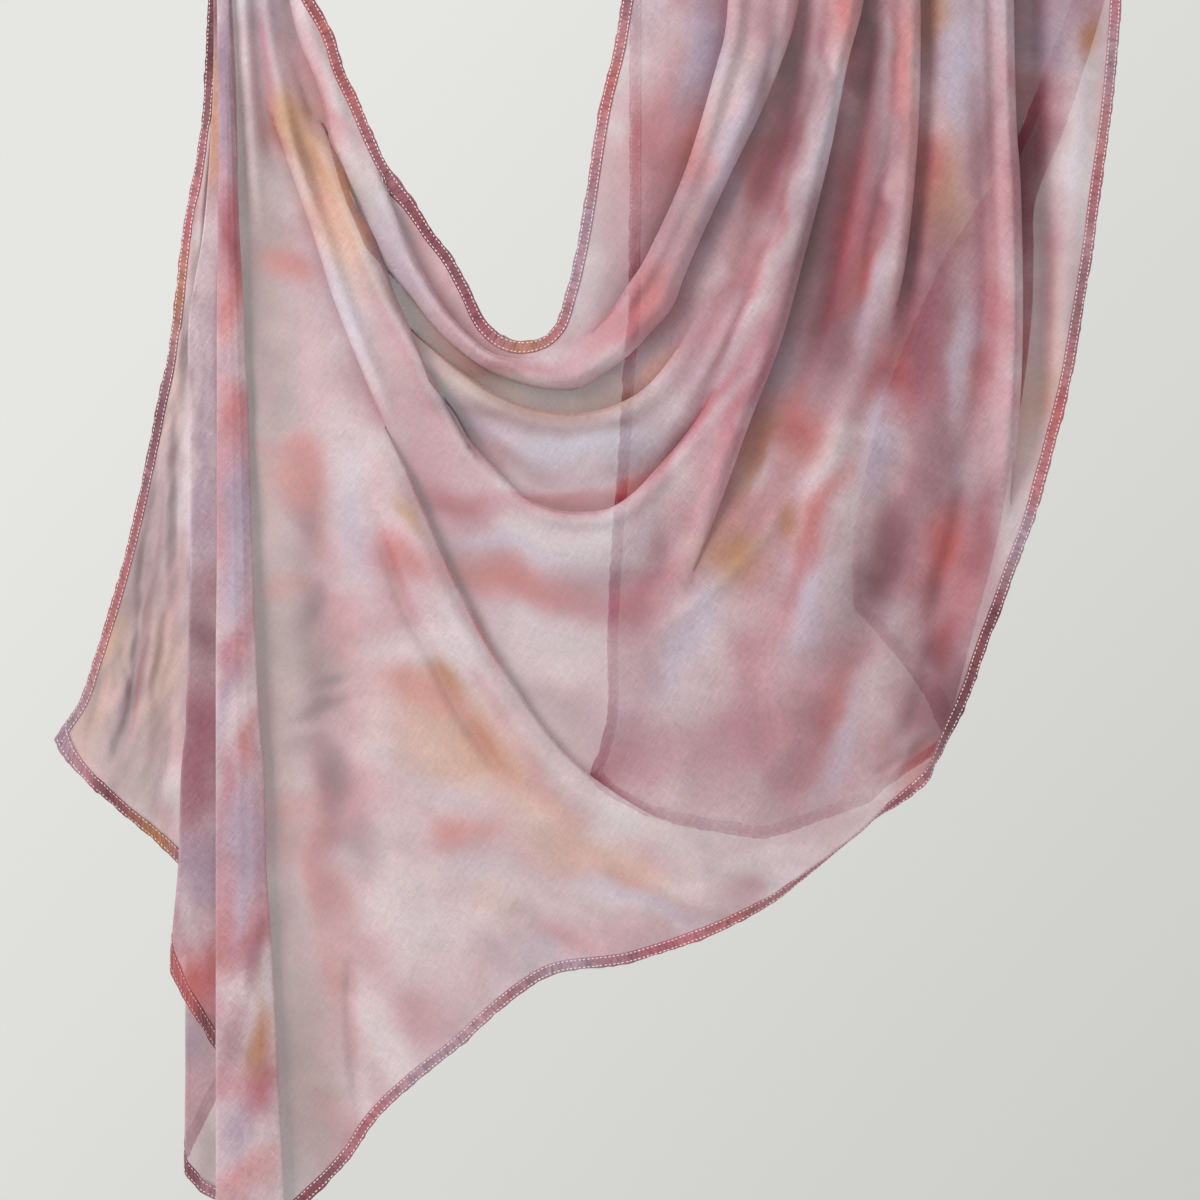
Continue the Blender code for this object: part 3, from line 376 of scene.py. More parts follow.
MIDDLE_WASH = [
    ("peach", 209, 130, 80, 14, 95, 0.9), ("ochre", 210, 90, 30, 8, 95, 0.5), ("white", 202, 250, 60, 18, 98, 0.8),
    ("plum", 212, 10, 50, 12, 92, 0.6), ("white", 195, 340, 60, 14, 90, 0.5), ("lilac", 200, 470, 110, 30, 90, 0.8),
    ("white", 190, 430, 130, 8, 92, 0.85), ("white", 208, 400, 90, 6, 90, 0.5), ("mauve", 200, 610, 50, 30, 120, 0.6),
    ("plum", 200, 648, 22, 26, 130, 0.5), ("wine", 200, 720, 50, 34, 92, 0.75), ("wine", 195, 790, 50, 26, 92, 0.7),
    ("lilac", 195, 885, 56, 34, 110, 0.85), ("rose", 172, 880, 40, 7, 96, 0.8), ("white", 200, 930, 30, 20, 120, 0.5),
    ("coral", 190, 985, 34, 34, 30, 0.9), ("white", 186, 915, 40, 8, 80, 0.5), ("wine", 212, 1030, 30, 14, 60, 0.5),
]
INNER_WASH = [
    ("lilac", 195, 1060, 40, 14, 90, 0.7), ("blush", 192, 1100, 40, 12, 90, 0.6),
    ("grey", 205, 1160, 40, 16, 90, 0.8),
]
# Its cool pale strokes are painted highlight on the front pleat; the rest is the dye's own pattern.
FRONT_WASH = [
    ("lilac", 225, 60, 90, 10, 90, 0.9), ("mist", 226, 40, 60, 6, 90, 0.5), ("mist", 224, 140, 60, 7, 90, 0.45),
    ("mauve", 226, 110, 130, 12, 90, 0.45), ("rose", 232, 210, 40, 12, 90, 0.5),
    ("coral", 232, 318, 60, 12, 88, 0.56), ("wine", 228, 250, 30, 10, 90, 0.6), ("lilac", 234, 365, 22, 14, 90, 0.6),
    ("coral", 234, 425, 28, 14, 88, 0.59), ("lilac", 236, 500, 60, 18, 92, 0.9), ("lilac", 238, 570, 50, 16, 92, 0.7),
    ("rose", 240, 648, 40, 12, 110, 0.6), ("lilac", 232, 690, 40, 10, 100, 0.7),
    ("coral", 252, 742, 36, 10, 100, 0.59), ("rose", 228, 780, 34, 10, 90, 0.5), ("lilac", 244, 840, 60, 18, 92, 0.9),
    ("coral", 234, 940, 34, 20, 100, 0.43), ("wine", 258, 950, 40, 10, 95, 0.6),
    ("ochre", 262, 1040, 40, 10, 95, 0.8), ("wine", 236, 1040, 40, 14, 90, 0.5),
    ("rose", 262, 1090, 30, 12, 110, 0.8), ("lilac", 240, 1130, 30, 16, 120, 0.8),
    ("mist", 240, 910, 40, 10, 100, 0.5), ("mist", 236, 560, 60, 8, 92, 0.5), ("coral", 250, 1170, 34, 16, 150, 0.56),
    ("rose", 240, 1230, 40, 20, 90, 0.5),
]
BACK_WASH = [
    ("rose", 680, 120, 70, 40, 90, 0.35), ("lilac", 760, 60, 80, 34, 95, 0.5), ("mauve", 840, 240, 90, 40, 100, 0.6),
    ("rose", 960, 160, 90, 30, 95, 0.6), ("plum", 1010, 200, 60, 26, 100, 0.6), ("rose", 700, 300, 60, 30, 100, 0.5),
    ("mauve", 930, 430, 80, 40, 100, 0.6), ("white", 680, 450, 70, 34, 90, 0.4), ("rose", 760, 620, 90, 50, 110, 0.4),
    ("mauve", 900, 640, 70, 40, 110, 0.5), ("lilac", 660, 680, 60, 30, 90, 0.4), ("white", 660, 170, 60, 20, 90, 0.5),
    ("rose", 820, 790, 80, 20, 170, 0.5),
]
HEM_WASH = [
    ("coral", 320, 20, 50, 40, 60, 0.8), ("coral", 355, 95, 50, 20, 60, 0.7), ("wine", 380, 150, 40, 30, 60, 0.6),
    ("plum", 440, 250, 90, 40, 60, 0.8), ("ochre", 525, 340, 30, 12, 0, 0.6), ("coral", 560, 322, 20, 14, 90, 0.6),
    ("lilac", 580, 240, 80, 16, 98, 0.8), ("coral", 604, 85, 44, 16, 100, 0.85), ("wine", 622, 0, 40, 16, 90, 0.6),
    ("plum", 320, 1190, 50, 30, 135, 0.8), ("rose", 385, 1110, 40, 30, 130, 0.6),
    ("lilac", 440, 1062, 50, 24, 140, 0.8), ("plum", 520, 992, 34, 20, 140, 0.5),
    ("lilac", 575, 970, 50, 16, 170, 0.8), ("rose", 690, 942, 50, 20, 160, 0.7),
    ("coral", 735, 925, 30, 20, 150, 0.5), ("rose", 820, 875, 60, 24, 145, 0.6), ("rose", 910, 798, 34, 24, 135, 0.7),
    ("plum", 965, 705, 60, 24, 110, 0.9), ("plum", 1000, 610, 34, 20, 110, 0.7),
    ("lilac", 1028, 540, 34, 20, 105, 0.8), ("rose", 1048, 470, 30, 16, 105, 0.5),
    ("coral", 1062, 410, 50, 16, 100, 0.8), ("mauve", 1085, 290, 50, 16, 98, 0.6),
    ("rose", 1100, 195, 34, 16, 96, 0.6), ("coral", 1106, 140, 34, 16, 96, 0.5), ("lilac", 1116, 60, 40, 16, 94, 0.6),
    ("plum", 208, 40, 100, 20, 92, 0.9), ("rose", 190, 190, 50, 20, 95, 0.5), ("ochre", 173, 290, 44, 20, 95, 0.6),
    ("mauve", 152, 410, 60, 24, 100, 0.8), ("coral", 112, 590, 80, 24, 105, 0.6),
    ("lilac", 60, 735, 44, 40, 105, 0.8), ("plum", 112, 805, 34, 20, 42, 0.8), ("ochre", 150, 840, 30, 24, 42, 0.95),
    ("coral", 186, 1005, 60, 40, 60, 0.95), ("plum", 208, 1040, 20, 20, 60, 0.8),
    ("lilac", 200, 1110, 50, 20, 110, 0.9), ("plum", 186, 1190, 20, 16, 90, 0.8),
]
BACK_HEM_WASH = [
    ("rose", 631, 100, 60, 30, 90, 0.7), ("mauve", 626, 320, 90, 30, 90, 0.8), ("lilac", 612, 600, 80, 30, 95, 0.6),
    ("mauve", 600, 780, 60, 30, 60, 0.7), ("wine", 735, 836, 60, 30, 10, 0.9), ("lilac", 860, 818, 60, 40, 160, 0.6),
    ("rose", 1090, 60, 80, 40, 100, 0.6), ("mauve", 1030, 260, 120, 40, 100, 0.6),
    ("plum", 930, 760, 40, 30, 130, 0.6), ("mauve", 890, 650, 60, 30, 60, 0.6), ("rose", 905, 380, 90, 30, 110, 0.6),
]
# Where the cloth lets more or less of what is behind it through.
COVER_MARKS = [  # change, across, down, length, width, angle
    (-0.14, 900, 670, 70, 40, 60), (-0.06, 640, 640, 160, 30, 92), (-0.1, 400, 300, 120, 14, 58),
    (-0.1, 520, 396, 90, 12, 8), (-0.06, 360, 170, 70, 10, 62), (-0.05, 275, 420, 190, 24, 86),
    (-0.05, 285, 720, 190, 24, 88), (-0.06, 300, 980, 160, 34, 86), (-0.1, 600, 200, 160, 12, 98),
    (-0.1, 1075, 260, 260, 22, 97), (-0.06, 570, 700, 90, 40, 50), (0.1, 430, 300, 120, 14, 55),
    (0.1, 330, 210, 120, 14, 68), (0.06, 900, 200, 200, 90, 92), (0.1, 560, 372, 120, 9, 0),
    (0.08, 1000, 200, 260, 12, 90), (0.08, 850, 80, 120, 12, 95),
]


def linear(colour):
    """A screen colour from 0 to 255 as the light it stands for."""
    parts = np.array(colour) / 255
    return tuple(float(c) for c in np.where(parts <= 0.04045, parts / 12.92, ((parts + 0.055) / 1.055) ** 2.4))


def number_setting(name, description, default, **more):
    """A size or a strength that a user can change."""
    return bpy.props.FloatProperty(name=name, description=description, default=default, **more)


def colour_setting(name, description, colour):
    """A colour that a user can change, given as a screen shows it."""
    return bpy.props.FloatVectorProperty(name=name, description=description, subtype="COLOR", default=linear(colour))


class HijabSizes(bpy.types.PropertyGroup):
    """Sizes of the cloth's trim and of its mesh."""

    hem_width: number_setting("Hem width", "Width of the sewn hem", 8 * MM, min=0.001, unit="LENGTH")
    hem_thickness: number_setting("Hem thickness", "Thickness of the sewn hem", 1.1 * MM, unit="LENGTH")
    stitch_pitch: number_setting("Stitch pitch", "Distance from stitch to stitch", 3 * MM, unit="LENGTH")
    stitch_length: number_setting("Stitch length", "Length of the thread that shows", 2.2 * MM, unit="LENGTH")
    stitch_width: number_setting("Stitch width", "Thickness of the thread", 1.15 * MM, unit="LENGTH")
    spacing: number_setting("Point spacing", "Grid steps between the drape's points", 4.3, min=2)


class HijabLooks(bpy.types.PropertyGroup):
    """Colours of the dye, some of them also used as painted shade and painted highlight, of the thread and of the
    holders.
    """

    white: colour_setting("White", "Palest part of the wash", (226, 205, 208))
    # Painted highlight: the cool pale light on the rolls and ridges of the drape and the front pleat.
    mist: colour_setting("Mist", "Coolest of the pale parts", (204, 190, 208))
    blush: colour_setting("Blush", "Pale pink of the ground", (208, 156, 162))
    lilac: colour_setting("Lilac", "Cool part of the wash", (182, 160, 176))
    # Undyed grey-beige, kept dark so that it also stands for the painted shade beside the front pleat and inside the
    # swag.
    grey: colour_setting("Grey", "Undyed grey-beige", (167, 136, 131))
    mauve: colour_setting("Mauve", "Grey-mauve clouds", (138, 88, 102))
    rose: colour_setting("Rose", "Rose strokes", (186, 94, 107))
    coral: colour_setting("Coral", "Coral spots", (202, 102, 98))
    peach: colour_setting("Peach", "Peach clouds", (222, 170, 144))
    ochre: colour_setting("Ochre", "Ochre spots", (182, 120, 62))
    plum: colour_setting("Plum", "Darkest part of the wash", (112, 46, 60))
    wine: colour_setting("Wine", "Deep rose", (150, 66, 84))
    cover: number_setting("Cover", "Share of the light that one layer of cloth stops", 0.76, min=0, max=1,
                          subtype="FACTOR")
    thread: colour_setting("Thread", "Colour of the stitches", (255, 243, 240))
    wood: colour_setting("Wood", "Colour of the rod", (196, 160, 118))
    plastic: colour_setting("Clip plastic", "Colour of the clip", (226, 224, 218))


class HijabStage(bpy.types.PropertyGroup):
    """The floor, the backdrop's tone and the lights."""

    backdrop: colour_setting("Backdrop", "Tone behind the cloth", (226, 226, 223))
    ambient: number_setting("Ambient", "Strength of the light from all round", 0.4, min=0)
    key: number_setting("Key light", "Power of the light at the upper left", 66, unit="POWER")
    fill: number_setting("Fill light", "Power of the light at the right", 12, unit="POWER")
    back: number_setting("Back light", "Power of the light behind the rod", 40, unit="POWER")
    camera_distance: number_setting("Camera distance", "From the lens to the cloth", 4.2, unit="LENGTH")


# Lines, noise and depths on the grid.


def soft_step(t):
    """Soft step from 0 to 1."""
    t = np.clip(t, 0, 1)
    return t * t * (3 - 2 * t)


def passed(line):
    """How far along a line each of its points is."""
    return np.r_[0, np.cumsum(np.linalg.norm(np.diff(line, axis=0), axis=1))]


def looked_up(spots, knots, rows):
    """Rows of values at spots, straight between the rows that stand at the knots."""
    return np.column_stack([np.interp(spots, knots, column) for column in rows.T])


def smoothed(spots, knots, rows):
    """Rows of values at spots, smoothly between the rows that stand at the knots."""
    slopes = np.gradient(rows, knots, axis=0)
    spans = np.clip(np.searchsorted(knots, spots, side="right") - 1, 0, len(knots) - 2)
    width = np.diff(knots)[spans][:, None]
    t = np.clip((spots - knots[spans])[:, None] / width, 0, 1)
    ahead = (2 * t - 3) * t * t
    return (
        (ahead + 1) * rows[spans] - ahead * rows[spans + 1]
        + (t - 1) ** 2 * t * slopes[spans] * width + (t - 1) * t * t * slopes[spans + 1] * width
    )


def through(points, step=6.0):
    """A smooth line through the points, in even steps."""
    points = np.array(points, float)
    knots = passed(points)
    return smoothed(np.linspace(0, knots[-1], max(3, round(knots[-1] / step) + 1)), knots, points)


def unit(ways):
    """The same ways, each one long."""
    return ways / np.linalg.norm(ways, axis=-1, keepdims=True)


def near_line(places, line):
    """Distance to a line for each place, positive on its right, the share along it and its way there."""
    run = passed(line)
    ways = unit(np.gradient(line, axis=0))
    best = np.full(len(places), np.inf)
    side, share, way = np.ones(len(places)), np.zeros(len(places)), np.zeros((len(places), 2))
    for index, (step, length) in enumerate(zip(np.diff(line, axis=0), np.diff(run))):
        step = step / length
        off = places - line[index]
        forward = np.clip(off @ step, 0, length)
        gap = np.linalg.norm(off - forward[:, None] * step, axis=1)
        near = gap < best
        best[near] = gap[near]
        side[near] = np.where(step[0] * off[near, 1] - step[1] * off[near, 0] < 0, -1, 1)
        share[near] = (run[index] + forward[near]) / run[-1]
        part = (forward[near] / length)[:, None]
        way[near] = ways[index] * (1 - part) + ways[index + 1] * part
    return best * side, share, way


def uneven(places, size, seed):
    """Smooth random heights from -1 to 1, with hills about size across."""
    lattice = np.random.default_rng(seed).uniform(-1, 1, (LATTICE, LATTICE))
    cells = places / size
    corner = np.floor(cells).astype(int)
    t = soft_step(cells - corner)
    x, y = corner.T % LATTICE
    right, below = (x + 1) % LATTICE, (y + 1) % LATTICE
    top = lattice[y, x] * (1 - t[:, 0]) + lattice[y, right] * t[:, 0]
    low = lattice[below, x] * (1 - t[:, 0]) + lattice[below, right] * t[:, 0]
    return top * (1 - t[:, 1]) + low * t[:, 1]


def thin_plate(pegs):
    """A smooth surface through pegs, as a function of places."""
    pegs = np.array(pegs, float)
    spots = pegs[:, :2] / 1000

    def bend(places):
        """How much each peg bends the surface at places."""
        squares = ((places[:, None] - spots[None]) ** 2).sum(2)
        return squares * np.log(squares + 1e-9)

    flat = np.column_stack((np.ones(len(pegs)), spots))
    system = np.block([[bend(spots), flat], [flat.T, np.zeros((3, 3))]])
    weights = np.linalg.solve(system, np.r_[pegs[:, 2], 0, 0, 0])

    def height(places):
        """Height of the surface at places."""
        spread = places / 1000
        return bend(spread) @ weights[:-3] + weights[-3] + spread @ weights[-2:]

    return height


def in_space(across, down, depth):
    """Points in metres from the grid. Rows above the rod's axis bend over the rod."""
    x = (across - ROD_ACROSS) * GRID
    y = depth * MM
    z = (ROD_DOWN - down) * GRID
    turn = np.clip(z / (ON_ROD * MM), 0, math.pi / 2)
    z = np.where(z > 0, np.abs(y) * np.sin(turn), z)
    return np.column_stack((x, y * np.cos(turn), z))


def in_bunch(across, down, depth):
    """Points in metres of the bunch and its falls, which stand straight in front of the rod."""
    return np.column_stack(((across - ROD_ACROSS) * GRID, depth * MM, (ROD_DOWN - down) * GRID))


def held_ends(share, line):
    """Fades a fold in and out at its ends, but not where it runs into the rod or the bunch."""
    first = 1 if line[0][1] <= HELD_ABOVE else soft_step(share * 5)
    last = 1 if line[-1][1] <= HELD_ABOVE else soft_step((1 - share) * 4)
    return first * last


def ridge(places, height, half_width, line, step):
    """How far a soft fold along a line brings each place to the front."""
    gap, share, _ = near_line(places, through(line, step))
    return height * held_ends(share, line) * np.exp(-1.4 * (gap / half_width) ** 2)


def folded(places):
    """How far its folds move each place on the drape, how far back it goes and how much painted shadow it gets where
    folds touch.
    """
    shift = np.zeros_like(places)
    relief = np.zeros(len(places))
    painted_crease_shadow = np.zeros(len(places))
    free = soft_step((places[:, 1] - OPENS_AT) / OPENS_OVER)
    over_rod = soft_step((places[:, 1] - ROD_TOP) / OPENS_OVER)
    for tuck, reach, lift, roll, hidden, line in OVERLAPS.values():
        gap, share, way = near_line(places, through(line, 12))
        gap = gap * hidden
        fade = held_ends(share, line) * free
        width = np.maximum(tuck * fade, 0.01)
        beyond = -width + (reach + width) * (gap - width) / (reach - width)
        turned_under = np.where(gap < 0, gap, np.where(gap < width, -gap, np.where(gap < reach, beyond, gap)))
        square = hidden * np.column_stack((-way[:, 1], way[:, 0]))
        shift += (turned_under - gap)[:, None] * square
        # The near side swells to the front before the fold, and the far side dips behind it.
        front = -np.exp(-(((gap / roll + 0.28) / 0.27) ** 2)) * over_rod / np.maximum(free, 0.01)
        back = 0.6 * np.exp(-(((gap - width) / (roll * 0.5)) ** 2))
        under = soft_step((gap + 1.0) / (width + 1.0))
        uncovered = width * (1 + (reach - width) / (reach + width))
        # Painted shadow: a dark strip on the far side of each turned fold, where the cloth lies against itself.
        painted_shadow_share = soft_step(gap / width) * np.exp(-((np.maximum(gap - uncovered, 0) / 4.5) ** 2))
        painted_crease_shadow = np.maximum(painted_crease_shadow, fade * painted_shadow_share)
        relief += lift * fade * np.where(gap > width, back, front * (1 - under) + 0.6 * under)
    for height, half_width, line in SOFT_FOLDS.values():
        relief -= 1.25 * (free if height < 0 else over_rod) * ridge(places, height, half_width, line, 16)
    inside = np.clip(np.abs(near_line(places, drape_rim)[0]) / 40, 0.25, 1)
    relief += free * inside * (0.9 * uneven(places, 34, 3) + 1.5 * uneven(places, 75, 4))
    for rim, seed in ((drape_rim, 61), (low_rim, 64)):
        relief += free * puckered(places, rim, 11, 1.1, seed)
    return shift, relief, painted_crease_shadow


def puckered(places, rim, size, depth, seed):
    """Short uneven wrinkles that run into the cloth square to a sewn rim."""
    gap, share, _ = near_line(places, rim)
    along = np.column_stack((share * passed(rim)[-1], 0.12 * np.abs(gap)))
    reach = 16 + 22 * (uneven(along, 47, seed) + 1)
    return depth * uneven(along, size, seed + 1) * np.exp(-np.abs(gap) / reach)


def hang(places):
    """The drape in space: places on the cloth are folded and given their depth."""
    shift, relief, _ = folded(places)
    return in_space(*(places + shift).T, np.clip(drape_depth(places) + relief, *DEEPEST))


# The wash.


def shade(name):
    """A colour of the wash."""
    return np.array(getattr(bpy.context.scene.hijab_looks, name))


def from_middle(places, across, down, length, width, angle):
    """How far places are from the middle of a soft ellipse, squared, with its rim at 1."""
    turn = math.radians(angle)
    off = places - (across, down)
    forward = off @ (math.cos(turn), math.sin(turn)) / length
    aside = off @ (-math.sin(turn), math.cos(turn)) / width
    return forward**2 + aside**2


def washed(places, strokes, seed, ground=("white", "blush", "lilac")):
    """Colours of the dye at places on the cloth: an uneven ground with soft strokes over it, some of which are
    painted shade and painted highlight.
    """
    drift = np.column_stack((uneven(places, 46, seed), uneven(places, 46, seed + 1)))
    drift += 0.5 * np.column_stack((uneven(places, 21, seed + 2), uneven(places, 21, seed + 3)))
    bled = places + 9 * drift
    first, second, third = (shade(name) for name in ground)
    share = soft_step(0.6 + 0.55 * uneven(bled, 90, seed + 4) + 0.35 * uneven(bled, 34, seed + 5))[:, None]
    colour = first * (1 - share) + second * share
    share = 0.5 * soft_step(0.25 + 0.7 * uneven(bled, 120, seed + 6))[:, None]
    colour = colour * (1 - share) + third * share
    for name, *stroke, strength in strokes:
        share = strength * np.exp(-0.9 * from_middle(bled, *stroke) ** 1.3)[:, None]
        colour = colour * (1 - share) + shade(name) * share
    streaks = np.column_stack((bled[:, 0] * 0.35 + bled[:, 1] * 0.2, bled[:, 1] - bled[:, 0] * 0.5))
    mottle = (0.04 * uneven(places, 13, seed + 7) + 0.05 * uneven(bled, 27, seed + 8)
              + 0.045 * uneven(streaks, 11, seed + 9) + 0.045 * uneven(streaks, 30, seed + 10))
    return colour * (1 + mottle)[:, None]


def painted_fold_shading(colours, relief, painted_crease_shadow):
    """The wash with painted shading from the folds: painted shade in the hollows, painted highlight on the ridges and
    the darkest painted shadow where folds touch.
    """
    return colours ** (1.06 + 0.6 * np.clip(relief / 10, -0.35, 1) + 0.75 * painted_crease_shadow)[:, None]


def covered(places):
    """Share of the light that the drape stops at places on it."""
    cover = np.full(len(places), bpy.context.scene.hijab_looks.cover)
    for change, *mark in COVER_MARKS:
        cover += change * np.exp(-from_middle(places, *mark))
    return np.clip(cover, 0.35, 0.97)


# Materials.


class Value:
    """A number from a shader node, with the sums that the finishes use."""

    def __init__(self, nodes, socket):
        self.nodes = nodes
        self.socket = socket

    def worked(self, operation, other, clamp=False):
        """The result of a Math node on this value and another."""
        return self.nodes.value("ShaderNodeMath", 0, {"operation": operation, "use_clamp": clamp}, self, other)

    def __add__(self, other):
        return self.worked("ADD", other)

    __radd__ = __add__

    def __mul__(self, other):
        return self.worked("MULTIPLY", other)

    __rmul__ = __mul__


class Nodes:
    """A tree of shader nodes, with one method that adds them."""

    def __init__(self, tree):
        self.tree = tree

    def node(self, kind, settings=(), *inputs, **named):
        """A node with its settings and the values or links of its inputs."""
        made = self.tree.nodes.new(kind)
        for key, value in dict(settings).items():
            setattr(made, key, value)
        for socket, value in [*zip(made.inputs, inputs), *((made.inputs[key], v) for key, v in named.items())]:
            self.link(socket, value)
        return made

    def link(self, socket, value):
        """Links a value to a socket, or sets the socket to it. None leaves the socket as it is."""
        if isinstance(value, Value):
            value = value.socket
        if isinstance(value, bpy.types.NodeSocket):
            self.tree.links.new(value, socket)
        elif value is not None:
            socket.default_value = value

    def value(self, kind, output, settings=(), *inputs, **named):
        """A number that a node gives out."""
        return Value(self, self.node(kind, settings, *inputs, **named).outputs[output])

    def mixed(self, factor, first, second, blend="MIX"):
        """Two colours mixed."""
        settings = {"data_type": "RGBA", "blend_type": blend}
        return self.node("ShaderNodeMix", settings, factor, *[None] * 5, first, second).outputs[2]


class Finish(Nodes):
    """A material under construction."""

    def __init__(self, name, roughness, settings=()):
        self.material = bpy.data.materials.new(name)
        self.material.use_nodes = True
        super().__init__(self.material.node_tree)
        self.shader = self.tree.nodes["Principled BSDF"]
        for socket, value in {"Roughness": roughness, **dict(settings)}.items():
            self.feed(socket, value)

    def feed(self, name, value):
        """Links or sets an input of the shader."""
        self.link(self.shader.inputs[name], value)

    def place(self):
        """Where a point of the piece is, in metres."""
        return self.node("ShaderNodeTexCoord").outputs["Object"]

    def cloth_place(self):
        """Where a point of the cloth is as it lies flat, in metres."""
        return self.node("ShaderNodeUVMap", {"uv_map": "cloth"}).outputs[0]

    def noise(self, source, scale, detail, **more):
        """Smooth noise that changes scale times in a metre."""
        return self.value("ShaderNodeTexNoise", 0, {}, source, Scale=scale, Detail=detail, **more)

    def stretched(self, source, scales):
        """A place with its measures drawn out, so that noise on it has a grain."""
        return self.node("ShaderNodeMapping", {}, source, None, None, scales).outputs[0]

    def threads(self, source, across, along, detail=2.0):
        """Uneven threads: noise drawn out, in threads to a metre."""
        return self.noise(self.stretched(source, (across, along, 40.0)), 1.0, detail, Roughness=0.6)

    def toned(self, weave, *spans):
        """Feeds the dye to the base colour, darker and lighter with the weave."""
        dye = self.node("ShaderNodeAttribute", {"attribute_name": "dye"}).outputs[0]
        tone = self.node("ShaderNodeMapRange", {}, weave, *spans).outputs[0]
        grey = self.node("ShaderNodeCombineColor", {}, tone, tone, tone).outputs[0]
        self.feed("Base Color", self.mixed(1.0, dye, grey, "MULTIPLY"))

    def cover(self):
        """Share of the light that the cloth stops."""
        return self.value("ShaderNodeAttribute", 2, {"attribute_name": "cover"})

    def bumped(self, height, strength, distance):
        """Feeds a relief to the shader's normal."""
        self.feed("Normal", self.node("ShaderNodeBump", {}, Strength=strength, Distance=distance,
                                      Height=height).outputs[0])


def opaque(colour, *shares):
    """A colour for a socket, with its parts made darker by shares where they are given."""
    return (*(part * share for part, share in zip(colour, shares or (1, 1, 1))), 1)


def voile_finish():
    """Thin plain weave with uneven threads, coloured by its wash and see-through."""
    made = Finish("dyed_voile", 0.85, {"Sheen Weight": 0.25, "Sheen Roughness": 0.5, "Specular IOR Level": 0.2})
    uv = made.node("ShaderNodeVectorRotate", {"rotation_type": "Z_AXIS"}, made.cloth_place(), Angle=0.6).outputs[0]
    weave = made.threads(uv, 2300.0, 110.0) + made.threads(uv, 110.0, 2300.0)
    slubs = made.threads(uv, 700.0, 40.0, 1.0)
    crinkle = made.threads(uv, 330.0, 190.0, 3.0) + made.threads(uv, 150.0, 300.0, 3.0)
    made.toned(weave + slubs * 0.5 + crinkle * 0.6, 1.35, 2.35, 0.78, 1.15)
    made.feed("Alpha", made.cover().worked("MULTIPLY", weave * 0.22 + 0.79, clamp=True))
    made.bumped(weave * 0.5 + crinkle, 0.7, 0.0007)
    return made.material


def hem_finish():
    """The same weave, turned over twice: dense and ribbed by its stitching."""
    made = Finish("dyed_hem", 0.8, {"Sheen Weight": 0.25, "Specular IOR Level": 0.2})
    uv = made.cloth_place()
    rib = made.threads(uv, 900.0, 120.0)
    pucker = made.threads(uv, 330.0, 130.0, 1.0)
    made.toned(rib + pucker, 0.7, 1.3, 0.68, 1.2)
    made.feed("Alpha", made.cover())
    made.bumped(rib + pucker * 2.0, 0.7, 0.0012)
    return made.material


def thread_finish():
    """Pale spun thread."""
    made = Finish("thread", 0.6, {"Sheen Weight": 0.3})
    twist = made.noise(made.place(), 900.0, 1.0)
    thread = bpy.context.scene.hijab_looks.thread
    made.feed("Base Color", made.mixed(twist * 0.4, opaque(thread), opaque(thread, 0.6, 0.6, 0.6)))
    made.bumped(twist, 0.4, 0.0003)
    return made.material


def wood_finish():
    """Oiled beech: fine grain along the rod with short darker flecks."""
    made = Finish("oiled_wood", 0.42)
    place = made.place()
    lines = made.noise(made.stretched(place, (7.0, 260.0, 260.0)), 1.0, 4.0, Distortion=0.4)
    marks = made.noise(made.stretched(place, (90.0, 900.0, 900.0)), 1.0, 1.0)
    dark = made.node("ShaderNodeMapRange", {}, marks, 0.58, 0.7, 0.0, 0.55).outputs[0]
    wood = bpy.context.scene.hijab_looks.wood
    deep = opaque(wood, 0.62, 0.52, 0.42)
    made.feed("Base Color", made.mixed(dark, made.mixed(lines, opaque(wood), deep), deep))
    made.feed("Roughness", lines * 0.25 + 0.32)
    made.bumped(lines, 0.15, 0.0006)
    return made.material


def plastic_finish():
    """Pale moulded plastic with a fine grain and faint scuffs."""
    made = Finish("moulded_plastic", 0.4)
    place = made.place()
    grain = made.noise(place, 2200.0, 2.0)
    scuffs = made.noise(place, 70.0, 5.0)
    plastic = bpy.context.scene.hijab_looks.plastic
    made.feed("Base Color", made.mixed(scuffs * 0.35, opaque(plastic), opaque(plastic, 0.8, 0.8, 0.8)))
    made.feed("Roughness", scuffs * 0.3 + 0.28)
    made.bumped(grain, 0.12, 0.0003)
    return made.material


def floor_finish():
    """Matt pale floor with the slightest mottling, which fades out far from the rod."""
    made = Finish("pale_floor", 0.9)
    place = made.place()
    mottle = made.noise(place, 1.5, 3.0)
    made.feed("Base Color", made.mixed(mottle, (0.9, 0.9, 0.88, 1), (0.82, 0.82, 0.8, 1)))
    gap = made.value("ShaderNodeVectorMath", 1, {"operation": "LENGTH"}, place)
    made.feed("Alpha", made.value("ShaderNodeMapRange", 0, {"interpolation_type": "SMOOTHSTEP"},
                                  gap, *FLOOR_FADES, 1.0, 0.0))
    made.bumped(mottle, 0.05, 0.002)
    return made.material


def finish_named(name, make):
    """The material of that name, made the first time that it is asked for."""
    return bpy.data.materials.get(name) or make()


# Meshes.


def added(name, points, faces, material):
    """A mesh piece that rides on the scarf's one body."""
    data = bpy.data.meshes.new(name)
    data.from_pydata(points.tolist(), [], faces)
    data.materials.append(material)
    data.shade_smooth()
    piece = bpy.data.objects.new(name, data)
    bpy.context.scene.collection.objects.link(piece)
    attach(piece, "root")
    return piece


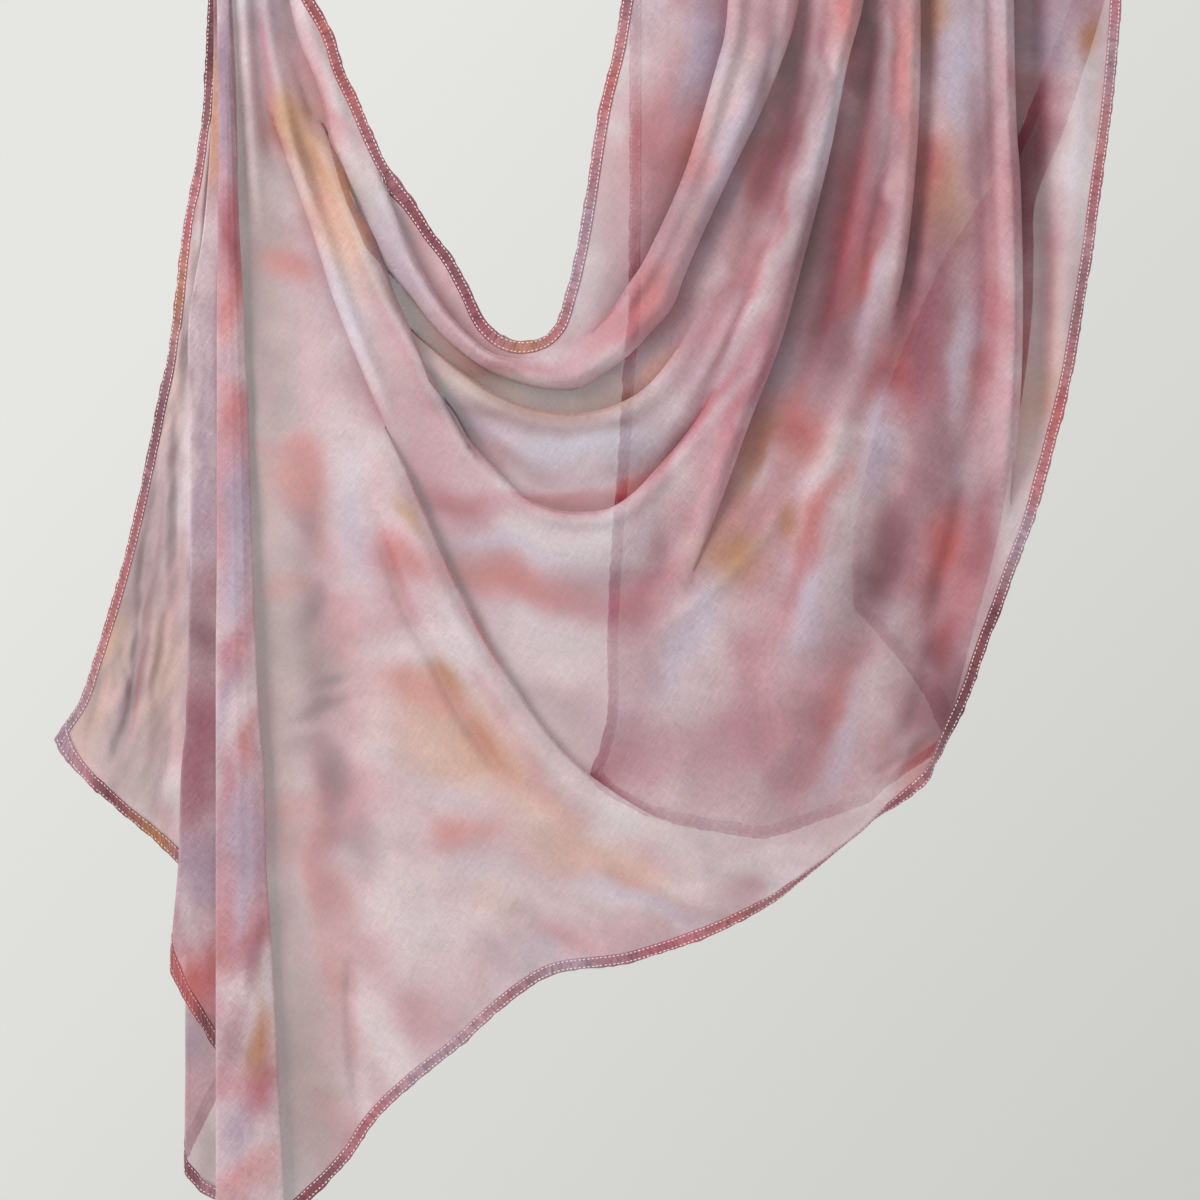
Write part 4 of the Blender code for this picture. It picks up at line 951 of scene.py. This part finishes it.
def made_piece(name, points, faces, places, colours, cover, material):
    """A mesh piece of cloth: its points in space, and for each its place, its dye and its cover."""
    piece = added(name, points, faces, material)
    data = piece.data
    normals = np.empty(len(points) * 3)
    data.vertices.foreach_get("normal", normals)
    facing = np.clip(np.abs(normals.reshape(-1, 3)[:, 1]), 0.3, 1)
    cover = 1 - (1 - cover) ** (1 / facing)
    corners = np.empty(len(data.loops), int)
    data.loops.foreach_get("vertex_index", corners)
    uv = data.uv_layers.new(name="cloth")
    uv.data.foreach_set("uv", (places * (GRID, -GRID))[corners].astype(np.float32).ravel())
    dye = data.attributes.new("dye", "FLOAT_COLOR", "POINT")
    dye.data.foreach_set("color", np.column_stack((colours, np.ones(len(points)))).astype(np.float32).ravel())
    stops = data.attributes.new("cover", "FLOAT", "POINT")
    stops.data.foreach_set("value", cover.astype(np.float32))
    return piece


def stretch(node, points, faces, places, colours, cover):
    """A stretch of cloth in the place of its CAD node."""
    cloth = made_piece(f"{node}_cloth", points, faces, places, colours, cover,
                       finish_named("dyed_voile", voile_finish))
    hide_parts(node)
    return cloth


def grid_faces(rows, columns):
    """Quads of a grid of points that face the front."""
    index = np.arange(rows * columns).reshape(rows, columns)
    return np.stack((index[:-1, :-1], index[:-1, 1:], index[1:, 1:], index[1:, :-1]), 2).reshape(-1, 4).tolist()


def is_inside(places, outline):
    """Which places are inside a closed outline."""
    inside = np.zeros(len(places), bool)
    x, y = places.T
    for (ax, ay), (bx, by) in zip(outline, np.roll(outline, -1, axis=0)):
        if ay != by:
            inside ^= ((ay > y) != (by > y)) & (x < (bx - ax) * (y - ay) / (by - ay) + ax)
    return inside


def inset(line, distance):
    """A line moved square to its way, to its left where distance is positive."""
    way = unit(np.gradient(line, axis=0))
    return line + np.reshape(distance, (-1, 1)) * np.column_stack((way[:, 1], -way[:, 0]))


def field_of(outline, lines, spacing):
    """Points and triangles that fill an outline, with points along lines inside it."""
    fixed = [Vector(place) for place in outline]
    edges = [(i, (i + 1) % len(outline)) for i in range(len(outline))]
    for line in lines:
        keep = is_inside(line, outline) & (np.abs(near_line(line, outline)[0]) > 0.5 * spacing)
        previous = None
        for place, kept in zip(line, keep):
            if kept:
                fixed.append(Vector(place))
                if previous is not None:
                    edges.append((previous, len(fixed) - 1))
                previous = len(fixed) - 1
            else:
                previous = None
    tree = KDTree(len(fixed))
    for index, place in enumerate(fixed):
        tree.insert((*place, 0), index)
    tree.balance()
    low, high = outline.min(0), outline.max(0)
    rows = np.arange(low[1], high[1], spacing * ROW_STEP)
    columns = np.arange(low[0], high[0], spacing)
    field = np.array([(x + spacing / 2 * (i % 2), y) for i, y in enumerate(rows) for x in columns])
    field = field[is_inside(field, outline)]
    loose = [Vector(place) for place in field if tree.find((*place, 0))[2] > 0.6 * spacing]
    made = delaunay_2d_cdt(fixed + loose, edges, [], 1, 1e-4)
    return np.array([tuple(place) for place in made[0]]), made[2]


def fold_lines():
    """Lines along each turned fold, at its edges and close beside them."""
    lines = []
    for tuck, _, _, _, hidden, line in OVERLAPS.values():
        path = through(line, 4.5)
        share = np.linspace(0, 1, len(path))
        width = tuck * held_ends(share, line) * soft_step((path[:, 1] - OPENS_AT) / OPENS_OVER)
        for part, extra in ((0, -5), (0, -2), (0, 0), (1, 0), (1, 2), (1, 5)):
            moved = inset(path, -hidden * (part * width + extra))
            kept = width > 1
            if kept.sum() > 3:
                lines.append(moved[kept])
    return lines


def swept_band(name, outer, inner, places, seed, wash, ground):
    """A hem: a flat tube of cloth along two lines in space, a little wavy along its rims."""
    sizes = bpy.context.scene.hijab_sizes
    across = inner - outer
    square = unit(np.cross(np.gradient((outer + inner) / 2, axis=0), across))
    lengths = passed(outer)
    spots = np.column_stack((lengths / MM, np.zeros(len(lengths))))
    rim = 0.055 * uneven(spots, 3.4, seed) + 0.05 * uneven(spots, 9.0, seed + 1)
    puff = sizes.hem_thickness / 2 * (1 + 0.45 * uneven(spots, 6.0, seed + 2))
    points = np.stack([
        outer + (part + (part < 0.5) * rim * (1 - part))[:, None] * across + (height * puff)[:, None] * square
        for part, height in HEM_SECTION], 1)
    count, around = points.shape[:2]
    index = np.arange(count * around).reshape(count, around)
    ahead = np.roll(index, -1, axis=1)
    faces = np.stack((index[:-1], index[1:], ahead[1:], ahead[:-1]), 2).reshape(-1, 4).tolist()
    faces += [index[0].tolist(), index[-1][::-1].tolist()]
    grain = np.stack([np.column_stack((lengths, np.full(count, part * sizes.hem_width)))
                      for part, _ in HEM_SECTION], 1)
    colours = 0.88 * washed(np.repeat(places, around, 0), wash, seed, ground) + 0.12 * shade("blush")
    band = made_piece(name, points.reshape(-1, 3), faces, grain.reshape(-1, 2) / (GRID, -GRID),
                      colours, HEM_COVER, finish_named("dyed_hem", hem_finish))
    outward(band)
    return band


def outward(piece):
    """Turns a closed piece's faces outwards."""
    mesh = bmesh.new()
    mesh.from_mesh(piece.data)
    bmesh.ops.recalc_face_normals(mesh, faces=mesh.faces)
    mesh.to_mesh(piece.data)
    mesh.free()


@cache
def stitch_shape():
    """The stitch that every hem has copies of, modelled from a small sphere: its points and faces."""
    bpy.ops.object.select_all(action="DESELECT")
    bpy.ops.mesh.primitive_uv_sphere_add(segments=6, ring_count=4, radius=0.5)
    model = bpy.context.object
    bpy.ops.object.mode_set(mode="EDIT")
    bpy.ops.transform.rotate(value=math.pi / 2, orient_axis="Y", center_override=(0, 0, 0))
    bpy.ops.object.mode_set(mode="OBJECT")
    points = np.array([tuple(vertex.co) for vertex in model.data.vertices])
    faces = [tuple(face.vertices) for face in model.data.polygons]
    bpy.data.meshes.remove(model.data)
    return points, faces


def sewn(name, outer, inner, seed):
    """Two rows of stitches along a hem, joined in one piece."""
    sizes = bpy.context.scene.hijab_sizes
    model, model_faces = stitch_shape()
    rng = np.random.default_rng(seed)
    points, faces = [], []
    for part in STITCH_ROWS:
        line = outer * (1 - part) + inner * part
        lengths = passed(line)
        spots = np.arange(sizes.stitch_pitch, lengths[-1] - sizes.stitch_pitch, sizes.stitch_pitch)
        spots = spots + rng.uniform(-0.1, 0.1, len(spots)) * sizes.stitch_pitch
        centres, ahead = looked_up(spots, lengths, line), looked_up(spots + sizes.stitch_pitch / 3, lengths, line)
        ways = unit(ahead - centres)
        across = unit(looked_up(spots, lengths, inner) - looked_up(spots, lengths, outer))
        for centre, *turn in zip(centres, ways, across, unit(np.cross(ways, across))):
            scale = (sizes.stitch_length * rng.uniform(0.85, 1.1), sizes.stitch_width,
                     sizes.hem_thickness + 0.5 * MM)
            faces += [tuple(i + len(points) * len(model) for i in face) for face in model_faces]
            points.append(centre + (model * scale) @ np.array(turn))
    if not points:
        raise RuntimeError(f"{name}: the hem is too short for a stitch")
    piece = added(name, np.vstack(points), faces, finish_named("thread", thread_finish))
    outward(piece)
    return piece


def hem_and_stitches(node, outer, inner, places, seed):
    """A hem in the place of its CAD node, with its stitches."""
    dye = (BACK_HEM_WASH, ("wine", "rose", "mauve")) if "back" in node else (HEM_WASH, ("rose", "blush", "mauve"))
    band = swept_band(f"{node}_band", outer, inner, places, seed, *dye)
    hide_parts(node)
    return [band, sewn(f"{node}_stitches", outer, inner, seed)]


def evened(*lines):
    """Lines resampled together, in a hem's even steps along the first."""
    lengths = passed(lines[0])
    places = np.linspace(0, lengths[-1], max(4, round(lengths[-1] / HEM_STEP) + 1))
    return [looked_up(places, lengths, line) for line in lines]


# The falls of the left end and of the back, by height and by section.


def at_share(rows, share):
    """Points at shares of the way along the line through rows."""
    rows = np.array(rows, float)
    lengths = passed(rows)
    return looked_up(share * lengths[-1], lengths, rows)


def edges_at(rows, down):
    """The other columns of a table whose first column is the row, smoothly between its rows."""
    rows = np.array(rows, float)
    return smoothed(down, rows[:, 0], rows[:, 1:]).T


def level_row(g, top, end, even):
    """The row a share g down a fall. Near the top, rows are level whatever the fall's end is."""
    return top + even * g + (end - top - even) * g * g


def section(c, shares, across, depth):
    """Across, depth and distance along a bent section, from its corners at fixed shares."""
    across, depth = np.array(across), np.array(depth)
    span = np.clip(np.searchsorted(shares, c, side="right") - 1, 0, len(shares) - 2)
    t = (c - np.array(shares)[span]) / np.diff(shares)[span]
    column = np.arange(len(c))
    run = np.vstack((np.zeros(len(c)), np.cumsum(np.abs(np.diff(across, axis=0)), axis=0)))
    return [part[span, column] * (1 - t) + part[span + 1, column] * t for part in (across, depth, run)]


def tail_layers(name, down):
    """Depths of a fall's back and front layers by height: tight in the bunch, spread below it."""
    opened = soft_step((down - TAIL_OPENS[0]) / (TAIL_OPENS[1] - TAIL_OPENS[0]))
    return [bunch + (hanging - bunch) * opened for bunch, hanging in zip(BUNCH_DEPTHS[name], TAIL_DEPTHS[name])]


def rear_fall(g, c):
    """The rearmost fall of the left end, from its hem to its hidden side."""
    down = level_row(g, TAIL_TOP, at_share(REAR_END, c)[:, 1], TAIL_EVEN["rear"])
    hem, _, _, _, _, hidden = edges_at(TAIL_ROWS, down)
    across = hem + (hidden - hem) * c
    inside = soft_step(c * 5) * soft_step((1 - c) * 5)
    places = np.column_stack((across, down))
    slanted = np.column_stack((across + 0.45 * down, 0.3 * down - 0.1 * across))
    waves = (2.2 * np.sin(c * 9 + down / 90) + 1.2 * np.sin(c * 23 - down / 60)
             + 1.4 * uneven(places, 24, 31) + 1.3 * uneven(slanted, 9, 33))
    depth = tail_layers("rear", down)[0] + inside * soft_step(down / 200) * waves
    for fold in REAR_FOLDS:
        depth = depth - 0.75 * inside * ridge(places, *fold, 8)
    depth = depth + inside * puckered(places, tail_rim, 10, 2.4, 67)
    return in_bunch(across, down, depth), places


def pleat(name, column, back_end, end):
    """A pleat with a fold on its left, from its back layer to its front one."""
    front_one = name == "front"
    turn = FRONT_TURN if front_one else PLEAT_TURN
    lip = FRONT_LIP[1]

    def fall(g, c):
        """Points of the pleat in space and their places on its cloth."""
        behind = at_share(back_end, np.clip(c / turn[1], 0, 1))[:, 1]
        before = at_share(end, np.clip((c - turn[1]) / (lip - turn[1]), 0, 1))[:, 1]
        down = level_row(g, TAIL_TOP, np.where(c < turn[1], behind, before), TAIL_EVEN[name])
        edges = edges_at(TAIL_ROWS, down)
        hidden = edges[HIDDEN_RIGHT]
        left, right = edges[column], edges[FRONT_RIGHT] if front_one else hidden + 6
        back, front = tail_layers(name, down)
        middle = (back + front) / 2
        if front_one:
            swell = 3.5 * soft_step((down - TAIL_OPENS[0]) / 300)
            across, depth, run = section(
                c, (0, *turn, 0.5, 0.65, 0.8, *FRONT_LIP, 1),
                (hidden, left + 1.2, left, left + 1.2, *(left + part * (right - left) for part in (0.25, 0.5, 0.75)),
                 right - 1.5, right, right - 1.5, right - 9),
                (back, back, middle, front, front - 0.5 * swell, front - swell, front - 0.8 * swell, front, front + 1,
                 front + 2.2, front + 2.6))
        else:
            across, depth, run = section(
                c, (0, *turn, 0.75, 1), (hidden, left + 1.2, left, left + 1.2, left + 0.5 * (right - left), right),
                (back, back, middle, front, front - 1.5, front + 0.5))
        own = np.column_stack((2 * left - hidden + run, down))
        depth = depth + soft_step(down / 200) * 0.7 * uneven(own, 30, 40 + column)
        return in_bunch(across, down, depth), own

    return fall


def back_fall(g, c):
    """The end behind the rod, from its side hem round its fold to the hem folded in behind."""
    starts, turn, _ = BACK_TURN
    outer_end = at_share(BACK_END, np.clip(c / turn, 0, 1))[:, 1]
    inner_end = at_share(BACK_INNER_END, np.clip((c - turn) / (1 - turn), 0, 1))[:, 1]
    down = level_row(g, ROD_TOP + 0.5, np.where(c < turn, outer_end, inner_end), BACK_EVEN)
    side, fold, inner = edges_at(BACK_ROWS, down)
    settled = soft_step((down - ROD_DOWN) / 140)
    first = ON_ROD + 4.0 * settled
    second = first + 3.6 + 3.4 * settled
    across, depth, run = section(
        c, (0, *BACK_TURN, 1), (side, fold - 2, fold, fold - 2, inner),
        (first, first, (first + second) / 2, second, second))
    own = np.column_stack((side + run, down))
    outer = soft_step((starts - c) * 12)
    over_rod = soft_step((down - ROD_TOP) / 60)
    for start, lean, half_width, height in BACK_WAVES:
        gap = (across - start - lean * (down - ROD_DOWN)) / half_width
        depth = depth + (over_rod if height > 0 else settled) * outer * height * np.exp(-gap * gap)
    depth = depth + settled * 0.8 * uneven(own, 40, 51)
    return in_space(across, down, depth), own


def cut_line(grid, first, last):
    """Grid lines cut to run from first to last, which counts back from their end unless it is above nought."""
    points, places = grid
    cut = []
    for line, spots, near, far in zip(points, places, *(np.broadcast_to(x, len(points)) for x in (first, last))):
        lengths = passed(line)
        kept = np.clip(lengths, near, far + lengths[-1] * (far <= 0))
        cut.append([looked_up(kept, lengths, part) for part in (line, spots)])
    return [np.array(parts) for parts in zip(*cut)]


def turned(grid):
    """The same grid with its lines and columns changed over."""
    return [part.transpose(1, 0, 2) for part in grid]


def hung_fall(node, fall, columns, rows, wash, seed, cover, hems):
    """A fall of cloth in the place of its CAD node, with its hems: side is first, far is last, end is below."""
    g, c = np.meshgrid(rows, columns)
    grid = [part.reshape(len(columns), len(rows), -1) for part in fall(g.ravel(), c.ravel())]
    width = bpy.context.scene.hijab_sizes.hem_width
    way = unit(np.gradient(grid[0][:, -1], axis=0))
    upright = width / np.clip(np.abs(way[:, 0]), 0.36, 1)
    full = turned(cut_line(grid, 0, -width * 0.2))
    bands = []
    for kind, name in hems.items():
        if kind == "end":
            rim, spots = (part[:, -1] for part in grid)
            inside = cut_line(grid, 0, -upright)[0][:, -1]
        else:
            rim, spots = (part[:, 0 if kind == "side" else -1] for part in full)
            inside = cut_line(full, 0, width if kind == "side" else -width)[0][:, -1]
        bands += hem_and_stitches(name, *evened(rim, inside, spots), seed + len(bands))
    body = turned(cut_line(grid, 0, TUCKED - upright))
    points, places = cut_line(body, width - TUCKED if "side" in hems else 0, TUCKED - width if "far" in hems else 0)
    places = places.reshape(-1, 2)
    cloth = stretch(node, points.reshape(-1, 3), grid_faces(*points.shape[:2]), places, washed(places, wash, seed),
                    cover)
    return cloth, bands


drape_depth = thin_plate(DRAPE_PEGS)
drape_rim = through(UPPER_HEM, 20)
low_rim = through(LOWER_HEM, 20)
tail_rim = through([row[1::-1] for row in TAIL_ROWS[:14]], 14)  # to the corner


class HIJAB_OT_set_stage(bpy.types.Operator):
    """Makes the pale floor, the soft lights and the camera"""

    bl_idname = "hijab.set_stage"
    bl_label = "Set stage"

    def execute(self, context):
        stage = context.scene.hijab_stage
        bpy.ops.object.select_all(action="DESELECT")
        bpy.ops.mesh.primitive_circle_add(vertices=96, radius=FLOOR_RADIUS, fill_type="NGON", location=FLOOR_PLACE)
        floor = context.object
        floor.name = "floor"
        bpy.ops.object.transform_apply()
        floor.data.materials.append(floor_finish())
        middle = Vector(((FRAME_ACROSS - ROD_ACROSS) * GRID, 0, (ROD_DOWN - FRAME_DOWN) * GRID))
        bpy.ops.object.camera_add(location=middle - Vector((0, stage.camera_distance + 0.02, 0)),
                                  rotation=(math.pi / 2, 0, 0))
        camera = context.object
        camera.data.sensor_width = SENSOR
        camera.data.lens = SENSOR * stage.camera_distance / FRAME_WIDTH
        camera.data.clip_end = 50
        context.scene.camera = camera
        for name, (size, place) in LIGHTS.items():
            place = Vector(place)
            bpy.ops.object.light_add(type="AREA", location=place)
            light = context.object
            light.name = f"{name}_light"
            light.data.energy = getattr(stage, name)
            light.data.size = size
            light.rotation_euler = (middle - place).to_track_quat("-Z", "Y").to_euler()
        self.light_world(context.scene, stage)
        context.scene.view_settings.view_transform = "Standard"
        return {"FINISHED"}

    @staticmethod
    def light_world(scene, stage):
        """An even pale surround that is brighter seen behind the cloth than it is as a light."""
        world = bpy.data.worlds.new("surround")
        world.use_nodes = True
        scene.world = world
        made = Nodes(world.node_tree)
        made.tree.nodes.clear()
        way = made.node("ShaderNodeTexCoord").outputs["Generated"]
        tilt = made.value("ShaderNodeVectorMath", 1, {"operation": "DOT_PRODUCT"}, way, (-1.0, 0.0, 0.9))
        strength = made.value("ShaderNodeMapRange", 0, {}, tilt, -0.18, 0.12, 0.80, 1.04)
        seen = made.node("ShaderNodeBackground", {}, (*stage.backdrop, 1), strength).outputs[0]
        light = made.node("ShaderNodeBackground", {}, (0.97, 0.98, 1.0, 1), stage.ambient).outputs[0]
        to_camera = made.node("ShaderNodeLightPath").outputs["Is Camera Ray"]
        both = made.node("ShaderNodeMixShader", {}, to_camera, light, seen).outputs[0]
        made.node("ShaderNodeOutputWorld", {}, both)


class HIJAB_OT_hang_drape(bpy.types.Operator):
    """Makes the front of the drape with its folds, its two hems and their stitches"""

    bl_idname = "hijab.hang_drape"
    bl_label = "Hang drape"

    def execute(self, context):
        sizes = context.scene.hijab_sizes
        hem = sizes.hem_width / GRID
        under = hem - TUCKED / GRID
        upper, lower = (np.vstack((through(line, 4), through([line[-1], (line[-1][0], ROD_TOP)], 4)[1:]))
                        for line in (UPPER_HEM, LOWER_HEM))
        edge_upper, edge_lower = inset(upper, -under), inset(lower, under)
        # The left side keeps clear of the two edges that it meets.
        left = through(LEFT_SIDE, 5)
        left = left[(left[:, 1] > edge_upper[6, 1]) & (left[:, 1] < LEFT_SIDE_END)]
        start, first = (int(np.argmax(edge[:, 0] > across)) for edge, across in (
            (edge_upper, BUNCH_SIDE), (edge_lower, CORNER_SIDE)))
        top = through([(edge_upper[-1][0], ROD_TOP), (edge_lower[-1][0], ROD_TOP)], 4)[1:-1]
        outline = np.vstack((edge_upper[start:], top, edge_lower[first:][::-1], left[::-1]))
        places, faces = field_of(outline, fold_lines(), sizes.spacing)
        # The drape's dye gets painted shade in its hollows, painted highlight on its ridges and painted shadow along
        # its fold lines.
        colours = painted_fold_shading(washed(places, DRAPE_WASH, 7), *folded(places)[1:])
        cloth = stretch("front_drape", hang(places), faces, places, colours, covered(places))
        free = int(np.argmax(upper[:, 0] > UPPER_HEM_START))
        bands = hem_and_stitches("hem_upper", *evened(
            hang(upper[free:]), hang(inset(upper, -hem)[free:]), upper[free:]), 70)
        turns = np.radians(np.interp(lower[:, 0], *np.array(LOWER_HEM_TURNS).T))[:, None]
        inner = hang(inset(lower, hem))
        across = hang(lower) - inner
        back = np.linalg.norm(across, axis=1, keepdims=True) * np.sin(turns) * np.array((0, 1, 0))
        bands += hem_and_stitches("hem_lower", *evened(inner + across * np.cos(turns) + back, inner, lower), 80)
        return {"FINISHED"}


class HIJAB_OT_hang_back_end(bpy.types.Operator):
    """Makes the end that hangs behind the rod, with its hems and stitches"""

    bl_idname = "hijab.hang_back_end"
    bl_label = "Hang back end"

    def execute(self, context):
        starts, turn, ends = BACK_TURN
        columns = np.r_[np.linspace(0, starts, 96), turn, np.linspace(ends, 1, 40)]
        rows = np.r_[np.linspace(0, 0.06, 16)[:-1], np.linspace(0.06, 1, 140)]
        cloth, bands = hung_fall("back_tail", back_fall, columns, rows, BACK_WASH, 11,
                                 context.scene.hijab_looks.cover - 0.12,
                                 {"side": "hem_back_side", "far": "hem_back_fold", "end": "hem_back_end"})
        return {"FINISHED"}


class HIJAB_OT_hang_left_end(bpy.types.Operator):
    """Makes the four falls of the left end, with their hems and stitches"""

    bl_idname = "hijab.hang_left_end"
    bl_label = "Hang left end"

    def execute(self, context):
        cover = context.scene.hijab_looks.cover
        rows = np.linspace(0, 1, 170) ** 1.15
        cloth, bands = hung_fall("tail_rear", rear_fall, np.linspace(0, 1, 60), rows, REAR_WASH, 13, cover - 0.06,
                                 {"side": "hem_tail_side", "end": "hem_end_rear"})
        falls = (("middle", "tail_middle_pleat", 1, MIDDLE_BACK_END, MIDDLE_END, MIDDLE_WASH, 0.88, (0.072, 0.68)),
                 ("inner", "tail_inner_pleat", 2, INNER_BACK_END, INNER_END, INNER_WASH, 0.7, (0.065, 0.82)),
                 ("front", "tail_front_pleat", 3, FRONT_BACK_END, FRONT_END, FRONT_WASH, 0.9, (0.055, 0.9)))
        for name, node, column, back_end, end, wash, stops, flat in falls:
            if name == "front":
                starts, turn, ends = FRONT_TURN
                edge, lip, behind = FRONT_LIP
                columns = np.r_[np.linspace(0, starts, 8), turn, np.linspace(ends, edge, 34), 0.925, lip, 0.947,
                                behind, 1]
            else:
                starts, turn, ends = PLEAT_TURN
                columns = np.r_[np.linspace(0, starts, 22), 0.435, turn, 0.465, np.linspace(ends, 1, 30)]
            cloth, bands = hung_fall(node, pleat(name, column, back_end, end), columns, rows, wash, 20 + column * 5,
                                     stops, {"end": f"hem_end_{name}"})
        return {"FINISHED"}


class HIJAB_OT_finish_holders(bpy.types.Operator):
    """Gives the rod its wood and the clip its plastic"""

    bl_idname = "hijab.finish_holders"
    bl_label = "Finish rod and clip"

    def execute(self, context):
        for name, make in (("rod", wood_finish), ("clip", plastic_finish)):
            node = bpy.data.objects[name]
            node.data.materials.clear()
            node.data.materials.append(make())
        return {"FINISHED"}


class HIJAB_PT_panel(bpy.types.Panel):
    """Lists the hijab's steps and settings"""

    bl_label = "Hijab"
    bl_idname = "HIJAB_PT_panel"
    bl_space_type = "VIEW_3D"
    bl_region_type = "UI"
    bl_category = "Hijab"

    def draw(self, context):
        for step in STEPS:
            self.layout.operator(step.bl_idname)
        for group in (context.scene.hijab_sizes, context.scene.hijab_looks, context.scene.hijab_stage):
            box = self.layout.box()
            for name in group.bl_rna.properties.keys():
                if name not in ("rna_type", "name"):
                    box.prop(group, name)


STEPS = (HIJAB_OT_set_stage, HIJAB_OT_finish_holders, HIJAB_OT_hang_back_end, HIJAB_OT_hang_left_end,
         HIJAB_OT_hang_drape)
GROUPS = (("hijab_sizes", HijabSizes), ("hijab_looks", HijabLooks), ("hijab_stage", HijabStage))


def register():
    """Adds the settings, the steps and the panel to Blender."""
    for name, group in GROUPS:
        bpy.utils.register_class(group)
        setattr(bpy.types.Scene, name, bpy.props.PointerProperty(type=group))
    for step in (*STEPS, HIJAB_PT_panel):
        bpy.utils.register_class(step)


def unregister():
    """Takes them out again."""
    for step in (*STEPS, HIJAB_PT_panel):
        bpy.utils.unregister_class(step)
    for name, group in GROUPS:
        delattr(bpy.types.Scene, name)
        bpy.utils.unregister_class(group)


def main():
    """Makes every piece in order."""
    register()
    for step in STEPS:
        area, action = step.bl_idname.split(".")
        getattr(getattr(bpy.ops, area), action)()


if __name__ == "__main__":
    main()
